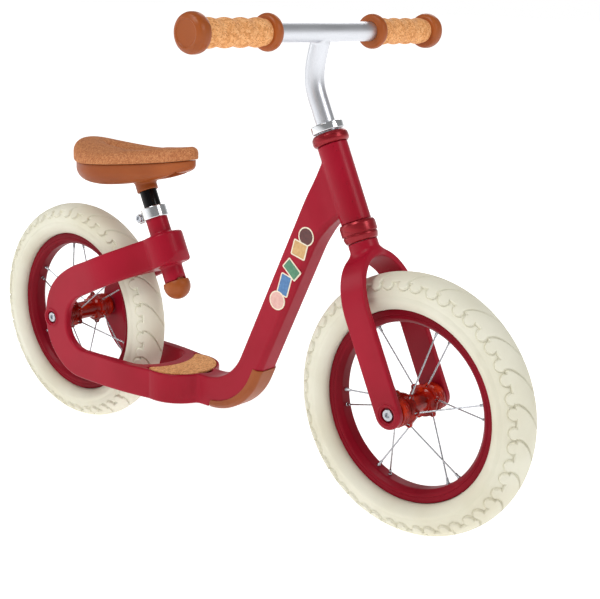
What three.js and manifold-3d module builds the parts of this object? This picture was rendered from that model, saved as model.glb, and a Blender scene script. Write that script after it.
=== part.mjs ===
// A toddler's balance bike: one-piece cast frame, steering fork, T handlebar, sliding saddle and two
// spoked wheels. Millimetres, +Z up, +X forwards, +Y to the rider's left. The origin is on the ground,
// midway between the two wheels.
import * as THREE from 'three';
import { mergeVertices } from 'three/addons/utils/BufferGeometryUtils.js';
import Module from 'manifold-3d';

const wasm = await Module();
wasm.setup();

// ---------------------------------------------------------------- driving dimensions
const degrees = Math.PI / 180;
const gap = 0.3; // left between pieces that touch

const wheelbase = 558;
const frontX = wheelbase / 2;
const rearX = -wheelbase / 2;
const round = 20; // sides of a turned piece
const tyre = { radius: 150, coreRadius: 126, halfWidth: 26, segments: 32 };
const rim = { radius: 110, innerRadius: 95, edgeRadius: 99, halfWidth: 12.5, seatRadius: 102.3, wall: 2.3 };
const hub = { barrel: 12, end: 16.6, flange: 18.6, lobe: 3.4, flangeY: 20, halfLength: 40.5, bore: 9 };
const bearing = { outer: 11, inner: 4, width: 7 };
const spoke = { radius: 1, nippleRadius: 1.9, nippleLength: 11, pairs: 6, rimSpread: 5.5, hubSpread: 8 };
const firstPair = { front: 8.5, rear: 35.5 }; // degrees above the horizontal, ahead of the axle
const axle = { radius: 3.7, collar: 6.2, boltBore: 2.7, boltBoreDepth: 16 };
const bolt = { headRadius: 6.6, headLength: 4, shankRadius: 2.4, shankLength: 18, recess: 8.6, recessDepth: 5 };

const head = { lean: 24.9 * degrees, tubeRadius: 17.3, bore: 15.3, tubeLow: 212.9, tubeHigh: 304 };
const steerer = { radius: 12.7, bore: 11.4, top: 327 };
const cup = { bore: 13, skirt: 15, skirtDepth: 9, lowRadius: 20.7, highRadius: 21 };
const lowerCupBottom = 190.4;
const upperCupTop = 316.9;
const clampRing = { low: 318.4, high: 327.4, radius: 19, bore: 13 };
const fork = { legInner: 42.5, legOuter: 50.5, halfDepth: 16.3, archTop: 169.5, shoulder: 112, neckRadius: 17 };
const crown = { low: 172, outerTop: 178, high: 190.1, boreFloor: 182 };

const bar = { radius: 11.1, forward: 34.1, height: 423, halfLength: 195.5, stemLow: 252, bendStart: 358 };
const grip = { inner: 86, outer: 212.6, core: 13.2, cork: 15.4, flange: 20, cap: 20.8, ridges: 4 };

const seat = { lean: 25 * degrees, x: -132, z: 300, tubeRadius: 14.1, tubeLow: -84, tubeHigh: 15, bore: 11.4 };
const seatClamp = { low: 0.8, high: 16, bore: 14.4, radius: 16.6, ear: 12, earHalf: 5.5, slot: 1.6 };
const post = { radius: 11.1, low: -58, high: 61 };
const socket = { low: 38.5, high: 56, radius: 13.8 };

const band = { low: -62, high: -21.8, nose: 26.8, innerEnd: -39, flareBack: -98 };
const loop = { outer: 57, inner: 46, edge: 2.5 };
const deck = { low: 76.5, high: 115.5, radius: 50, centreX: -86, slotX: -135, slotDepth: 33, slotHalf: 42.5 };
const deckPad = { radius: 46, cutRadius: 61, cutX: -147, seat: 2, high: 116.1 };
const spine = { halfWidth: 17, rearLine: -33.3, depth: 34.4, innerBend: 66, outerBend: 87, lean: 24.3 * degrees };
const guard = { proud: 1.4, width: 10, riser: 17 };
const saddle = { rearX: -269, noseX: -62, halfWidth: 61, noseHalfWidth: 27 };
const padForm = { inset: 0, plan: 0.93, reach: 0.3, rise: 0.6 }; // smaller powers are boxier
const shellForm = { inset: 4, plan: 1, reach: 0.5, rise: 0.85 };

// ---------------------------------------------------------------- materials
function paint(color, roughness, metalness) {
  return new THREE.MeshStandardMaterial({ color, roughness, metalness });
}

const crimson = paint(0xa31628, 0.45, 0.2);
const darkCrimson = paint(0x7c0f18, 0.35, 0.6);
const ivoryTyre = paint(0xe6e0cc, 0.8, 0);
const cork = paint(0xd9a06c, 0.85, 0);
const brown = paint(0x9a5426, 0.5, 0);
const blackSteel = paint(0x1c1a1c, 0.3, 0.7);
const chrome = paint(0xd8dadd, 0.15, 1);
const aluminium = paint(0xc9ccd2, 0.35, 0.9);
const amberPlastic = paint(0x7a1408, 0.2, 0);
const steel = paint(0xb9bcc0, 0.3, 1);

// ---------------------------------------------------------------- geometry helpers
function signedVolume(geometry) {
  const p = geometry.attributes.position;
  const index = geometry.index.array;
  const [a, b, c] = [new THREE.Vector3(), new THREE.Vector3(), new THREE.Vector3()];
  let volume = 0;
  for (let i = 0; i < index.length; i += 3) {
    a.fromBufferAttribute(p, index[i]);
    b.fromBufferAttribute(p, index[i + 1]);
    c.fromBufferAttribute(p, index[i + 2]);
    volume += a.dot(b.cross(c)) / 6;
  }
  return volume;
}

// Merges shared vertices, drops the flat triangles at a lathe's poles and turns every face outwards.
function closed(geometry) {
  geometry.deleteAttribute('normal');
  geometry.deleteAttribute('uv');
  const merged = mergeVertices(geometry, 1e-4);
  const index = merged.index.array;
  const faces = [];
  for (let i = 0; i < index.length; i += 3) {
    const [a, b, c] = [index[i], index[i + 1], index[i + 2]];
    if (a !== b && b !== c && c !== a) faces.push(a, b, c);
  }
  merged.setIndex(faces);
  if (signedVolume(merged) < 0) merged.setIndex(faces.reverse());
  return merged;
}

function solid(geometry) {
  const ready = closed(geometry);
  const vertProperties = new Float32Array(ready.attributes.position.array);
  const triVerts = new Uint32Array(ready.index.array);
  return new wasm.Manifold(new wasm.Mesh({ numProp: 3, vertProperties, triVerts }));
}

function surface(manifold) {
  const { vertProperties, triVerts } = manifold.getMesh();
  const geometry = new THREE.BufferGeometry();
  geometry.setAttribute('position', new THREE.BufferAttribute(vertProperties, 3));
  geometry.setIndex(new THREE.BufferAttribute(triVerts, 1));
  return geometry;
}

function join(solids) {
  return solids.reduce((whole, next) => whole.add(next));
}

function cut(whole, tools) {
  return tools.reduce((left, tool) => left.subtract(tool), whole);
}

// Profiles are lists of [radius, height]. Heights run along +Y, or along +Z with turnedZ.
function turned(profile, segments) {
  return new THREE.LatheGeometry(profile.map(([r, h]) => new THREE.Vector2(r, h)), segments);
}

function turnedZ(profile, segments) {
  return turned(profile, segments).rotateX(Math.PI / 2);
}

function rod(radius, low, high) {
  return [[0, low], [radius, low], [radius, high], [0, high]];
}

function ring(inner, outer, low, high) {
  return [[inner, low], [outer, low], [outer, high], [inner, high], [inner, low]];
}

// Extrudes a shape drawn in X and Z across the bike, from y = low to y = high, with a softened edge.
function extrudeAcross(shape, low, high, edge) {
  const depth = high - low - 2 * edge;
  const bevel = { bevelEnabled: edge > 0, bevelThickness: edge, bevelSize: edge, bevelOffset: -edge, bevelSegments: 1 };
  const geometry = new THREE.ExtrudeGeometry(shape, { depth, curveSegments: 6, ...bevel });
  return geometry.rotateX(Math.PI / 2).translate(0, high - edge, 0);
}

// Extrudes a plan shape drawn in X and Y upwards, from z = low to z = high.
function extrudeUp(shape, low, high, edge) {
  const depth = high - low - 2 * edge;
  const bevel = { bevelEnabled: edge > 0, bevelThickness: edge, bevelSize: edge, bevelOffset: -edge, bevelSegments: 1 };
  const geometry = new THREE.ExtrudeGeometry(shape, { depth, curveSegments: 6, ...bevel });
  return geometry.translate(0, 0, low + edge);
}

// A leaning axis has its own frame: X forwards across it, Y left, Z up along it.
function leaningFrame(x, z, lean) {
  const group = new THREE.Group();
  group.position.set(x, 0, z);
  group.rotation.y = -lean;
  group.updateMatrix();
  return group;
}

const steeringFrame = leaningFrame(frontX, tyre.radius, head.lean);
const seatFrame = leaningFrame(seat.x, seat.z, seat.lean);

function onSteering(geometry) {
  return solid(geometry.applyMatrix4(steeringFrame.matrix));
}

function onSeat(geometry) {
  return solid(geometry.applyMatrix4(seatFrame.matrix));
}

// ---------------------------------------------------------------- assembly helpers
const bike = new THREE.Group();
bike.add(steeringFrame, seatFrame);

function place(name, geometry, material, parent = bike) {
  const mesh = new THREE.Mesh(geometry, material);
  mesh.name = name;
  parent.add(mesh);
  return mesh;
}

// ---------------------------------------------------------------- frame
// A point of the leaning seat frame, seen from the side.
function seatPoint(along, up) {
  const x = seat.x + along * Math.cos(seat.lean) - up * Math.sin(seat.lean);
  const z = seat.z + along * Math.sin(seat.lean) + up * Math.cos(seat.lean);
  return [x, z];
}

// The C that carries the rear axle: the upper arm runs up to the yoke, the lower one along the deck.
function rearLoopShape() {
  const shape = new THREE.Shape();
  const axleHeight = tyre.radius;
  const back = rearX - 13;
  const front = -205;
  shape.moveTo(front, deck.low);
  shape.lineTo(-222, deck.low);
  shape.bezierCurveTo(-258, deck.low, back, 108, back, axleHeight);
  shape.bezierCurveTo(back, 190, -272, 211, -232, 230.5);
  shape.lineTo(...seatPoint(band.flareBack, band.high));
  shape.lineTo(...seatPoint(band.flareBack, band.low));
  shape.lineTo(-222, 189.5);
  shape.bezierCurveTo(-238, 182, -249, 168, -249, axleHeight - 1);
  shape.bezierCurveTo(-249, 132, -236, deck.high, -212, deck.high);
  shape.lineTo(front, deck.high);
  return shape;
}

// The tilted U that joins both upper arms round the seat tube, drawn in the seat frame.
function yokeShape() {
  const { flareBack, nose, innerEnd } = band;
  const back = flareBack - 14;
  const tangent = 112 * degrees;
  const noseX = nose * Math.cos(tangent);
  const noseY = nose * Math.sin(tangent);
  const shape = new THREE.Shape();
  shape.moveTo(back, loop.outer);
  shape.lineTo(flareBack, loop.outer);
  shape.bezierCurveTo(flareBack + 36, loop.outer, noseX - 32, noseY + 12, noseX, noseY);
  shape.absarc(0, 0, nose, tangent, -tangent, true);
  shape.bezierCurveTo(noseX - 32, -noseY - 12, flareBack + 36, -loop.outer, flareBack, -loop.outer);
  shape.lineTo(back, -loop.outer);
  shape.lineTo(back, -loop.inner);
  shape.lineTo(flareBack, -loop.inner);
  shape.bezierCurveTo(flareBack + 28, -loop.inner, innerEnd, -38, innerEnd, 0);
  shape.bezierCurveTo(innerEnd, 38, flareBack + 28, loop.inner, flareBack, loop.inner);
  shape.lineTo(back, loop.inner);
  return shape;
}

// The footboard and lower arms in plan: a U round the rear wheel with a round front end.
function deckShape() {
  const { radius, centreX, slotX, slotDepth, slotHalf } = deck;
  const back = -214;
  const tangent = 100 * degrees;
  const touchX = centreX + radius * Math.cos(tangent);
  const touchY = radius * Math.sin(tangent);
  const shape = new THREE.Shape();
  shape.moveTo(back, loop.outer);
  shape.lineTo(-172, loop.outer);
  shape.bezierCurveTo(-140, loop.outer, touchX - 24, touchY + 4, touchX, touchY);
  shape.absarc(centreX, 0, radius, tangent, -tangent, true);
  shape.bezierCurveTo(touchX - 24, -touchY - 4, -140, -loop.outer, -172, -loop.outer);
  shape.lineTo(back, -loop.outer);
  shape.lineTo(back, -loop.inner);
  shape.bezierCurveTo(back + 30, -loop.inner, slotX - 30, -slotHalf, slotX, -slotHalf);
  shape.absellipse(slotX, 0, slotDepth, slotHalf, -90 * degrees, 90 * degrees, false, 0);
  shape.bezierCurveTo(slotX - 30, slotHalf, back + 30, loop.inner, back, loop.inner);
  return shape;
}

// A direction along the down tube, and one across it that points forwards.
const alongSpine = [Math.sin(spine.lean), Math.cos(spine.lean)];
const acrossSpine = [Math.cos(spine.lean), -Math.sin(spine.lean)];

// The centre of the arc that joins the level z = level to the line at a distance across the down tube.
function bendCentre(level, line, radius) {
  const z = level + radius;
  return [(line - radius - z * acrossSpine[1]) / acrossSpine[0], z];
}

function bendPoint(centre, radius, rise) {
  return [
    centre[0] + radius * acrossSpine[0] + rise * alongSpine[0],
    centre[1] + radius * acrossSpine[1] + rise * alongSpine[1],
  ];
}

const topBend = bendCentre(deck.high, spine.rearLine, spine.innerBend);
const bottomBend = bendCentre(deck.low, spine.rearLine + spine.depth, spine.outerBend);

// The side outline of the down tube and its bend into the footboard, grown outwards by an amount.
function spineShape(grow) {
  const inner = spine.innerBend - grow;
  const outer = spine.outerBend + grow;
  const back = -70;
  const [headX, headZ] = [
    frontX - head.tubeLow * Math.sin(head.lean),
    tyre.radius + head.tubeLow * Math.cos(head.lean),
  ];
  const shape = new THREE.Shape();
  shape.moveTo(back, deck.low - grow);
  shape.lineTo(bottomBend[0], deck.low - grow);
  shape.absarc(...bottomBend, outer, -90 * degrees, -spine.lean, false);
  shape.lineTo(...bendPoint(bottomBend, outer, 192));
  shape.bezierCurveTo(...bendPoint(bottomBend, outer, 212), headX - 27, headZ - 2, headX - 15, headZ + 3);
  shape.lineTo(headX - 2, headZ + 8);
  shape.lineTo(159, 409);
  shape.lineTo(...bendPoint(topBend, inner, 290));
  shape.lineTo(...bendPoint(topBend, inner, 0));
  shape.absarc(...topBend, inner, -spine.lean, -90 * degrees, true);
  shape.lineTo(back, deck.high + grow);
  return shape;
}

// Bore, bolt recess and raised rings round an axle hole whose outer wall is at y = outer.
function axleSeat(x, z, outer, side, wall) {
  const bossHeight = 1.2;
  const boss = solid(turned(rod(14, outer - 2, outer + bossHeight), round).scale(1, side, 1).translate(x, 0, z));
  const recessFloor = outer - bolt.recessDepth;
  const recess = solid(turned(rod(bolt.recess, recessFloor, outer + 5), round).scale(1, side, 1).translate(x, 0, z));
  const hole = solid(turned(rod(3.1, outer - wall - 3, outer), 16).scale(1, side, 1).translate(x, 0, z));
  return { boss, cuts: [recess, hole] };
}

function padShape(grow) {
  const { radius, cutRadius, cutX } = deckPad;
  const outer = radius + grow;
  const inner = cutRadius - grow;
  const apart = deck.centreX - cutX;
  const hornX = (apart * apart + inner * inner - outer * outer) / (2 * apart);
  const hornY = Math.sqrt(inner * inner - hornX * hornX);
  const outerAngle = Math.atan2(hornY, hornX - apart);
  const innerAngle = Math.atan2(hornY, hornX);
  const shape = new THREE.Shape();
  shape.absarc(deck.centreX, 0, outer, outerAngle, -outerAngle, true);
  shape.absarc(cutX, 0, inner, -innerAngle, innerAngle, false);
  return shape;
}

function makeFrame() {
  const loops = [1, -1].map((side) => {
    const [low, high] = side > 0 ? [loop.inner, loop.outer] : [-loop.outer, -loop.inner];
    return solid(extrudeAcross(rearLoopShape(), low, high, loop.edge));
  });
  const seats = [1, -1].map((side) => axleSeat(rearX, tyre.radius, loop.outer, side, loop.outer - loop.inner));
  const body = join([
    solid(extrudeAcross(spineShape(0), -spine.halfWidth, spine.halfWidth, 6)),
    solid(extrudeUp(deckShape(), deck.low, deck.high, loop.edge)),
    ...loops,
    onSeat(extrudeUp(yokeShape(), band.low, band.high, loop.edge)),
    onSeat(turnedZ(rod(seat.tubeRadius, seat.tubeLow, seat.tubeHigh), round)),
    onSteering(turnedZ(rod(head.tubeRadius, head.tubeLow, head.tubeHigh), 24)),
    ...seats.map((s) => s.boss),
  ]);
  const cuts = [
    onSeat(turnedZ(rod(seat.bore, seat.tubeLow - 5, seat.tubeHigh + 5), round)),
    onSteering(turnedZ(rod(head.bore, head.tubeLow - 5, head.tubeHigh + 5), 24)),
    solid(extrudeUp(padShape(gap), deck.high - deckPad.seat - gap, deck.high + 5, 0)),
    ...seats.flatMap((s) => s.cuts),
  ];
  place('frame', surface(cut(body, cuts)), crimson);
}

function makeDeckPad() {
  place('deck_pad', closed(extrudeUp(padShape(0), deck.high - deckPad.seat, deckPad.high, 0)), cork);
}

// A thin shell that wraps the outside of the bend, over the front face and part of both sides.
function makeBendGuard() {
  const { proud, width, riser } = guard;
  const outer = spine.outerBend + proud;
  const inner = spine.outerBend - width;
  const shape = new THREE.Shape();
  shape.moveTo(bottomBend[0] + 4, bottomBend[1] - outer);
  shape.absarc(...bottomBend, outer, -87 * degrees, -spine.lean, false);
  shape.lineTo(...bendPoint(bottomBend, outer, riser));
  shape.lineTo(...bendPoint(bottomBend, inner, riser - 4));
  shape.absarc(...bottomBend, inner, -spine.lean, -84 * degrees, true);
  const block = solid(extrudeAcross(shape, -spine.halfWidth - proud, spine.halfWidth + proud, 1));
  const inside = solid(extrudeAcross(spineShape(gap), -spine.halfWidth - gap, spine.halfWidth + gap, 6));
  place('bend_guard', surface(block.subtract(inside)), brown);
}

function makeSeatTubePlug() {
  const ballRadius = 17.4;
  const ballCentre = seat.tubeLow - 6;
  const shankRadius = seat.bore - gap;
  const shankTop = seat.tubeLow + 5; // stays clear of the seat post at its lowest
  const profile = [[0, shankTop], [shankRadius, shankTop], [shankRadius, seat.tubeLow - gap]];
  const steps = 6;
  const start = Math.acos((seat.tubeLow - gap - ballCentre) / ballRadius);
  for (let i = 0; i <= steps; i += 1) {
    const angle = start + ((Math.PI - start) * i) / steps;
    profile.push([Math.max(0, ballRadius * Math.sin(angle)), ballCentre + ballRadius * Math.cos(angle)]);
  }
  profile[profile.length - 1][0] = 0;
  place('seat_tube_plug', closed(turnedZ(profile, round)), brown, seatFrame);
}

function makeSeatClamp() {
  const { low, high, bore, radius, ear, earHalf, slot } = seatClamp;
  const middle = (low + high) / 2;
  const boltX = -radius - ear / 2 + 1;
  const band = solid(turnedZ(rod(radius, low, high), 24));
  const lug = solid(new THREE.BoxGeometry(ear + 4, 2 * earHalf, high - low - 2).translate(boltX + 2, 0, middle));
  const split = solid(new THREE.BoxGeometry(ear + 12, slot, high - low + 4).translate(boltX, 0, middle));
  const hole = solid(turnedZ(rod(bore, low - 2, high + 2), 24));
  const boltHole = solid(turned(rod(2.6, -20, 20), 12).translate(boltX - 1, 0, middle));
  place('seat_clamp', surface(cut(band.add(lug), [hole, split, boltHole])), chrome, seatFrame);
  const headLow = -earHalf - gap - 4.5;
  const headRadius = 5.6;
  const profile = [[0, headLow], [headRadius, headLow], [headRadius, -earHalf - gap], [2.3, -earHalf - gap]];
  profile.push([2.3, earHalf + 3], [0, earHalf + 3]);
  place('seat_clamp_bolt', closed(turned(profile, 12).translate(boltX - 1, 0, middle)), steel, seatFrame);
}

function makeHeadsetCups() {
  const { bore, skirt, skirtDepth, lowRadius, highRadius } = cup;
  const low = lowerCupBottom;
  const lip = head.tubeLow - gap;
  const lower = [
    [bore, low], [17.6, low], [lowRadius - 1, low + 6], [lowRadius, low + 9], [lowRadius, low + 16],
    [lowRadius - 0.8, lip], [skirt, lip], [skirt, lip + skirtDepth], [bore, lip + skirtDepth], [bore, low],
  ];
  place('lower_headset_cup', closed(turnedZ(lower, 24)), darkCrimson, steeringFrame);
  const high = upperCupTop;
  const seatHeight = head.tubeHigh + gap;
  const upper = [
    [bore, seatHeight - skirtDepth], [skirt, seatHeight - skirtDepth], [skirt, seatHeight],
    [highRadius - 2, seatHeight], [highRadius, seatHeight + 4], [highRadius, high - 3.5], [highRadius - 2.5, high],
    [bore, high], [bore, seatHeight - skirtDepth],
  ];
  place('upper_headset_cup', closed(turnedZ(upper, 24)), darkCrimson, steeringFrame);
}

// ---------------------------------------------------------------- axles, shared by both wheels
function axleProfile(insideWidth) {
  const shoulder = hub.halfLength + gap;
  const end = insideWidth - gap;
  const floor = end - axle.boltBoreDepth;
  return [
    [0, floor], [axle.boltBore, floor], [axle.boltBore, end], [axle.collar, end], [axle.collar, shoulder],
    [axle.radius, shoulder], [axle.radius, -shoulder], [axle.collar, -shoulder], [axle.collar, -end],
    [axle.boltBore, -end], [axle.boltBore, -floor], [0, -floor],
  ];
}

function makeAxle(name, x, insideWidth, outer) {
  place(`${name}_axle`, closed(turned(axleProfile(insideWidth), 12)), steel).position.set(x, 0, tyre.radius);
  const headLow = outer - bolt.recessDepth + gap;
  const headHigh = headLow + bolt.headLength;
  const socketFloor = headHigh - 2.6;
  const socketRadius = 3;
  const profile = [
    [0, headLow - bolt.shankLength], [bolt.shankRadius, headLow - bolt.shankLength], [bolt.shankRadius, headLow],
    [bolt.headRadius, headLow], [bolt.headRadius, headHigh - 0.8], [bolt.headRadius - 0.8, headHigh],
    [socketRadius, headHigh], [socketRadius, socketFloor], [0, socketFloor],
  ];
  for (const [side, sign] of [['left', 1], ['right', -1]]) {
    const geometry = closed(turned(profile, 12).scale(1, sign, 1));
    place(`${name}_axle_bolt_${side}`, geometry, steel).position.set(x, 0, tyre.radius);
  }
}

// ---------------------------------------------------------------- fork and handlebar
// Front view of the fork, drawn with X across the bike and Y up the steering axis.
function forkFrontShape() {
  const { legInner, legOuter, archTop, shoulder } = fork;
  const foot = -24;
  const shape = new THREE.Shape();
  shape.moveTo(legOuter, foot);
  shape.lineTo(legOuter, shoulder);
  shape.absellipse(0, shoulder, legOuter, crown.outerTop - shoulder, 0, 180 * degrees, false, 0);
  shape.lineTo(-legOuter, foot);
  shape.lineTo(-legInner, foot);
  shape.lineTo(-legInner, shoulder);
  shape.absellipse(0, shoulder, legInner, archTop - shoulder, 180 * degrees, 0, true, 0);
  shape.lineTo(legInner, foot);
  return shape;
}

// Side view of the fork: straight blades with a round foot about the axle.
function forkSideShape() {
  const { halfDepth, shoulder } = fork;
  const shape = new THREE.Shape();
  shape.absarc(0, 0, halfDepth, 180 * degrees, 360 * degrees, false);
  shape.lineTo(halfDepth, shoulder + 30);
  shape.lineTo(fork.neckRadius, crown.outerTop + 1);
  shape.lineTo(-fork.neckRadius, crown.outerTop + 1);
  shape.lineTo(-halfDepth, shoulder + 30);
  return shape;
}

function makeFork() {
  const frontView = solid(
    new THREE.ExtrudeGeometry(forkFrontShape(), { depth: 60, bevelEnabled: false, curveSegments: 8 })
      .translate(0, 0, -30)
      .rotateX(Math.PI / 2)
      .rotateZ(Math.PI / 2),
  );
  const sideView = solid(extrudeAcross(forkSideShape(), -60, 60, 0));
  const neck = [
    [0, crown.low], [fork.neckRadius, crown.low], [fork.neckRadius, crown.high - 1],
    [fork.neckRadius - 0.6, crown.high], [0, crown.high],
  ];
  const seats = [1, -1].map((side) => axleSeat(0, 0, fork.legOuter, side, fork.legOuter - fork.legInner));
  const whole = join([
    frontView.intersect(sideView),
    solid(turnedZ(neck, 24)),
    solid(turnedZ(rod(steerer.radius, crown.outerTop, steerer.top), 24)),
    ...seats.map((s) => s.boss),
  ]);
  const bore = solid(turnedZ(rod(steerer.bore, crown.boreFloor, steerer.top + 5), 24));
  place('fork', surface(cut(whole, [bore, ...seats.flatMap((s) => s.cuts)])), crimson, steeringFrame);
}

function makeStemClamp() {
  const { low, high, radius, bore } = clampRing;
  const middle = (low + high) / 2;
  const ringSolid = solid(turnedZ([
    [bore, low], [radius, low], [radius, high - 1], [radius - 1, high], [bore, high], [bore, low],
  ], 24));
  const screwRadius = 2.4;
  const screwHole = solid(turned(rod(screwRadius + gap, 8, 30), 10).rotateZ(Math.PI / 2).translate(0, 0, middle));
  place('stem_clamp', surface(ringSolid.subtract(screwHole)), chrome, steeringFrame);
  const screw = [
    [0, bore + gap], [screwRadius, bore + gap], [screwRadius, radius + 0.5], [1.2, radius + 0.5],
    [1.2, radius - 1.5], [0, radius - 1.5],
  ];
  const screwGeometry = turned(screw, 10).rotateZ(Math.PI / 2).translate(0, 0, middle);
  place('stem_clamp_screw', closed(screwGeometry), steel, steeringFrame);
}

function makeHandlebar() {
  const path = new THREE.CurvePath();
  const point = (forward, up) => new THREE.Vector3(forward, 0, up);
  path.add(new THREE.LineCurve3(point(0, bar.stemLow), point(0, bar.bendStart)));
  const bend = [point(0, bar.bendStart), point(0, bar.bendStart + 26), point(bar.forward - 22, bar.height - 26)];
  path.add(new THREE.CubicBezierCurve3(...bend, point(bar.forward, bar.height)));
  const section = new THREE.Shape().absarc(0, 0, bar.radius, 0, 2 * Math.PI, false);
  const stem = new THREE.ExtrudeGeometry(section, { extrudePath: path, steps: 16, curveSegments: 8 });
  const crossbar = turned(rod(bar.radius, -bar.halfLength, bar.halfLength), 20);
  const whole = solid(stem).add(solid(crossbar.translate(bar.forward, 0, bar.height)));
  place('handlebar', surface(whole), aluminium, steeringFrame);
}

function corkProfile() {
  const inner = grip.core + gap;
  const start = 98.4;
  const end = 194;
  const steps = 2 * grip.ridges;
  const profile = [];
  for (let i = 0; i <= steps; i += 1) {
    const wave = -0.8 * Math.cos((Math.PI * grip.ridges * i) / steps) ** 2;
    profile.push([grip.cork + wave, start + ((end - start) * i) / steps]);
  }
  return [[inner, start], ...profile, [inner, end], [inner, start]];
}

function makeGrips() {
  const bore = bar.radius + gap;
  const { inner, outer, core, flange, cap } = grip;
  const corkEnd = 194.3;
  const coreProfile = [
    [bore, inner], [flange - 2, inner], [flange, inner + 3], [flange, inner + 9], [flange - 2, inner + 12],
    [core, inner + 12], [core, corkEnd], [cap - 2, corkEnd], [cap, corkEnd + 3], [cap, outer - 4],
    [cap - 3.5, outer], [0, outer], [0, bar.halfLength + gap], [bore, bar.halfLength + gap], [bore, inner],
  ];
  for (const [side, sign] of [['left', 1], ['right', -1]]) {
    const coreGeometry = closed(turned(coreProfile, 16).scale(1, sign, 1));
    const corkGeometry = closed(turned(corkProfile(), 16).scale(1, sign, 1));
    place(`grip_core_${side}`, coreGeometry, brown, steeringFrame).position.set(bar.forward, 0, bar.height);
    place(`grip_cork_${side}`, corkGeometry, cork, steeringFrame).position.set(bar.forward, 0, bar.height);
  }
}

// ---------------------------------------------------------------- saddle
function smooth(t) {
  const u = Math.min(1, Math.max(0, t));
  return u * u * (3 - 2 * u);
}

// Runs from 0 at the back of the saddle to 1 at the nose.
function saddleStation(x) {
  return THREE.MathUtils.clamp((x - saddle.rearX) / (saddle.noseX - saddle.rearX), 0, 1);
}

function saddleHalfWidth(x) {
  const t = saddleStation(x);
  return THREE.MathUtils.lerp(saddle.halfWidth, saddle.noseHalfWidth, smooth((t - 0.2) / 0.62));
}

// The line between the pad and the shell: it lifts a little at the back, and more towards the nose.
function saddleEdgeZ(x) {
  const t = saddleStation(x);
  return 367 + 19 * t ** 2 + 6 * Math.max(0, 1 - t / 0.25) ** 2;
}

function rounded(value, power) {
  return Math.sign(value) * Math.abs(value) ** power;
}

// A unit sphere pulled into a saddle shape whose top and bottom surfaces are given.
function saddleLens(topOf, bottomOf, { inset, plan, reach, rise }) {
  const geometry = new THREE.SphereGeometry(1, 24, 12).rotateX(Math.PI / 2);
  const p = geometry.attributes.position;
  const middle = (saddle.rearX + saddle.noseX) / 2;
  const half = (saddle.noseX - saddle.rearX) / 2 - inset;
  for (let i = 0; i < p.count; i += 1) {
    const outwards = Math.hypot(p.getX(i), p.getY(i)) ** reach;
    const angle = Math.atan2(p.getY(i), p.getX(i));
    const x = middle + half * outwards * rounded(Math.cos(angle), plan);
    const y = (saddleHalfWidth(x) - inset) * outwards * rounded(Math.sin(angle), plan);
    const height = rounded(p.getZ(i), rise);
    const edge = saddleEdgeZ(x);
    const z = height > 0 ? edge + height * (topOf(x, y) - edge) : edge + height * (edge - bottomOf(x));
    p.setXYZ(i, x, y, z);
  }
  return geometry;
}

// High at the back, with a shallow channel along the middle, and rising again to the nose.
function padTop(x, y) {
  const t = saddleStation(x);
  const channel = 6 * smooth((t - 0.12) / 0.15) * smooth((0.72 - t) / 0.3) * Math.exp(-((y / 11) ** 2));
  return 394.5 - 3 * Math.sin(Math.PI * t) + 7 * t ** 4 - (2 * y) ** 2 / 900 - channel;
}

function shellBottom(x) {
  const rise = THREE.MathUtils.clamp((x + 200) / 144, 0, 1.1);
  return 341 + 36 * rise ** 1.7;
}

function makeSaddle() {
  const pad = solid(saddleLens(padTop, (x) => saddleEdgeZ(x) - 3, padForm));
  const shellBody = solid(saddleLens((x) => saddleEdgeZ(x) + 4, shellBottom, shellForm));
  const collar = onSeat(turnedZ(rod(socket.radius, socket.low, socket.high), round));
  const postHole = onSeat(turnedZ(rod(post.radius + gap, socket.low - 5, post.high + gap), round));
  const seatForm = { ...padForm, inset: -8 };
  const padSeat = solid(saddleLens((x) => saddleEdgeZ(x) + 60, (x) => saddleEdgeZ(x) - 3.9, seatForm));
  place('saddle_shell', surface(cut(shellBody.add(collar), [postHole, padSeat])), brown);
  place('saddle_pad', surface(pad), cork);
}

function makeSeatPost() {
  place('seat_post', closed(turnedZ(rod(post.radius, post.low, post.high), round)), blackSteel, seatFrame);
}

// ---------------------------------------------------------------- wheels
function tyreProfile() {
  const { seatRadius, wall, halfWidth } = rim;
  const foot = halfWidth - wall - gap;
  const { radius, coreRadius } = tyre;
  const half = [
    [rim.radius + 0.4, foot], [rim.radius + 0.4, 13.8], [coreRadius - 11, 21.6],
    [coreRadius, tyre.halfWidth], [coreRadius + 10, 24.4], [coreRadius + 18, 17.6], [coreRadius + 22.6, 8.6],
  ];
  const low = seatRadius + gap;
  return [[low, -foot], ...half.map(([r, y]) => [r, -y]), [radius, 0], ...half.reverse(), [low, foot], [low, -foot]];
}

function rimProfile() {
  const { radius, innerRadius, edgeRadius, halfWidth, seatRadius, wall } = rim;
  const inside = halfWidth - wall;
  const crest = 6;
  return [
    [innerRadius, -crest], [edgeRadius, -halfWidth], [radius, -halfWidth], [radius, -inside],
    [seatRadius, -inside], [seatRadius, inside], [radius, inside], [radius, halfWidth],
    [edgeRadius, halfWidth], [innerRadius, crest], [innerRadius, -crest],
  ];
}

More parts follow.
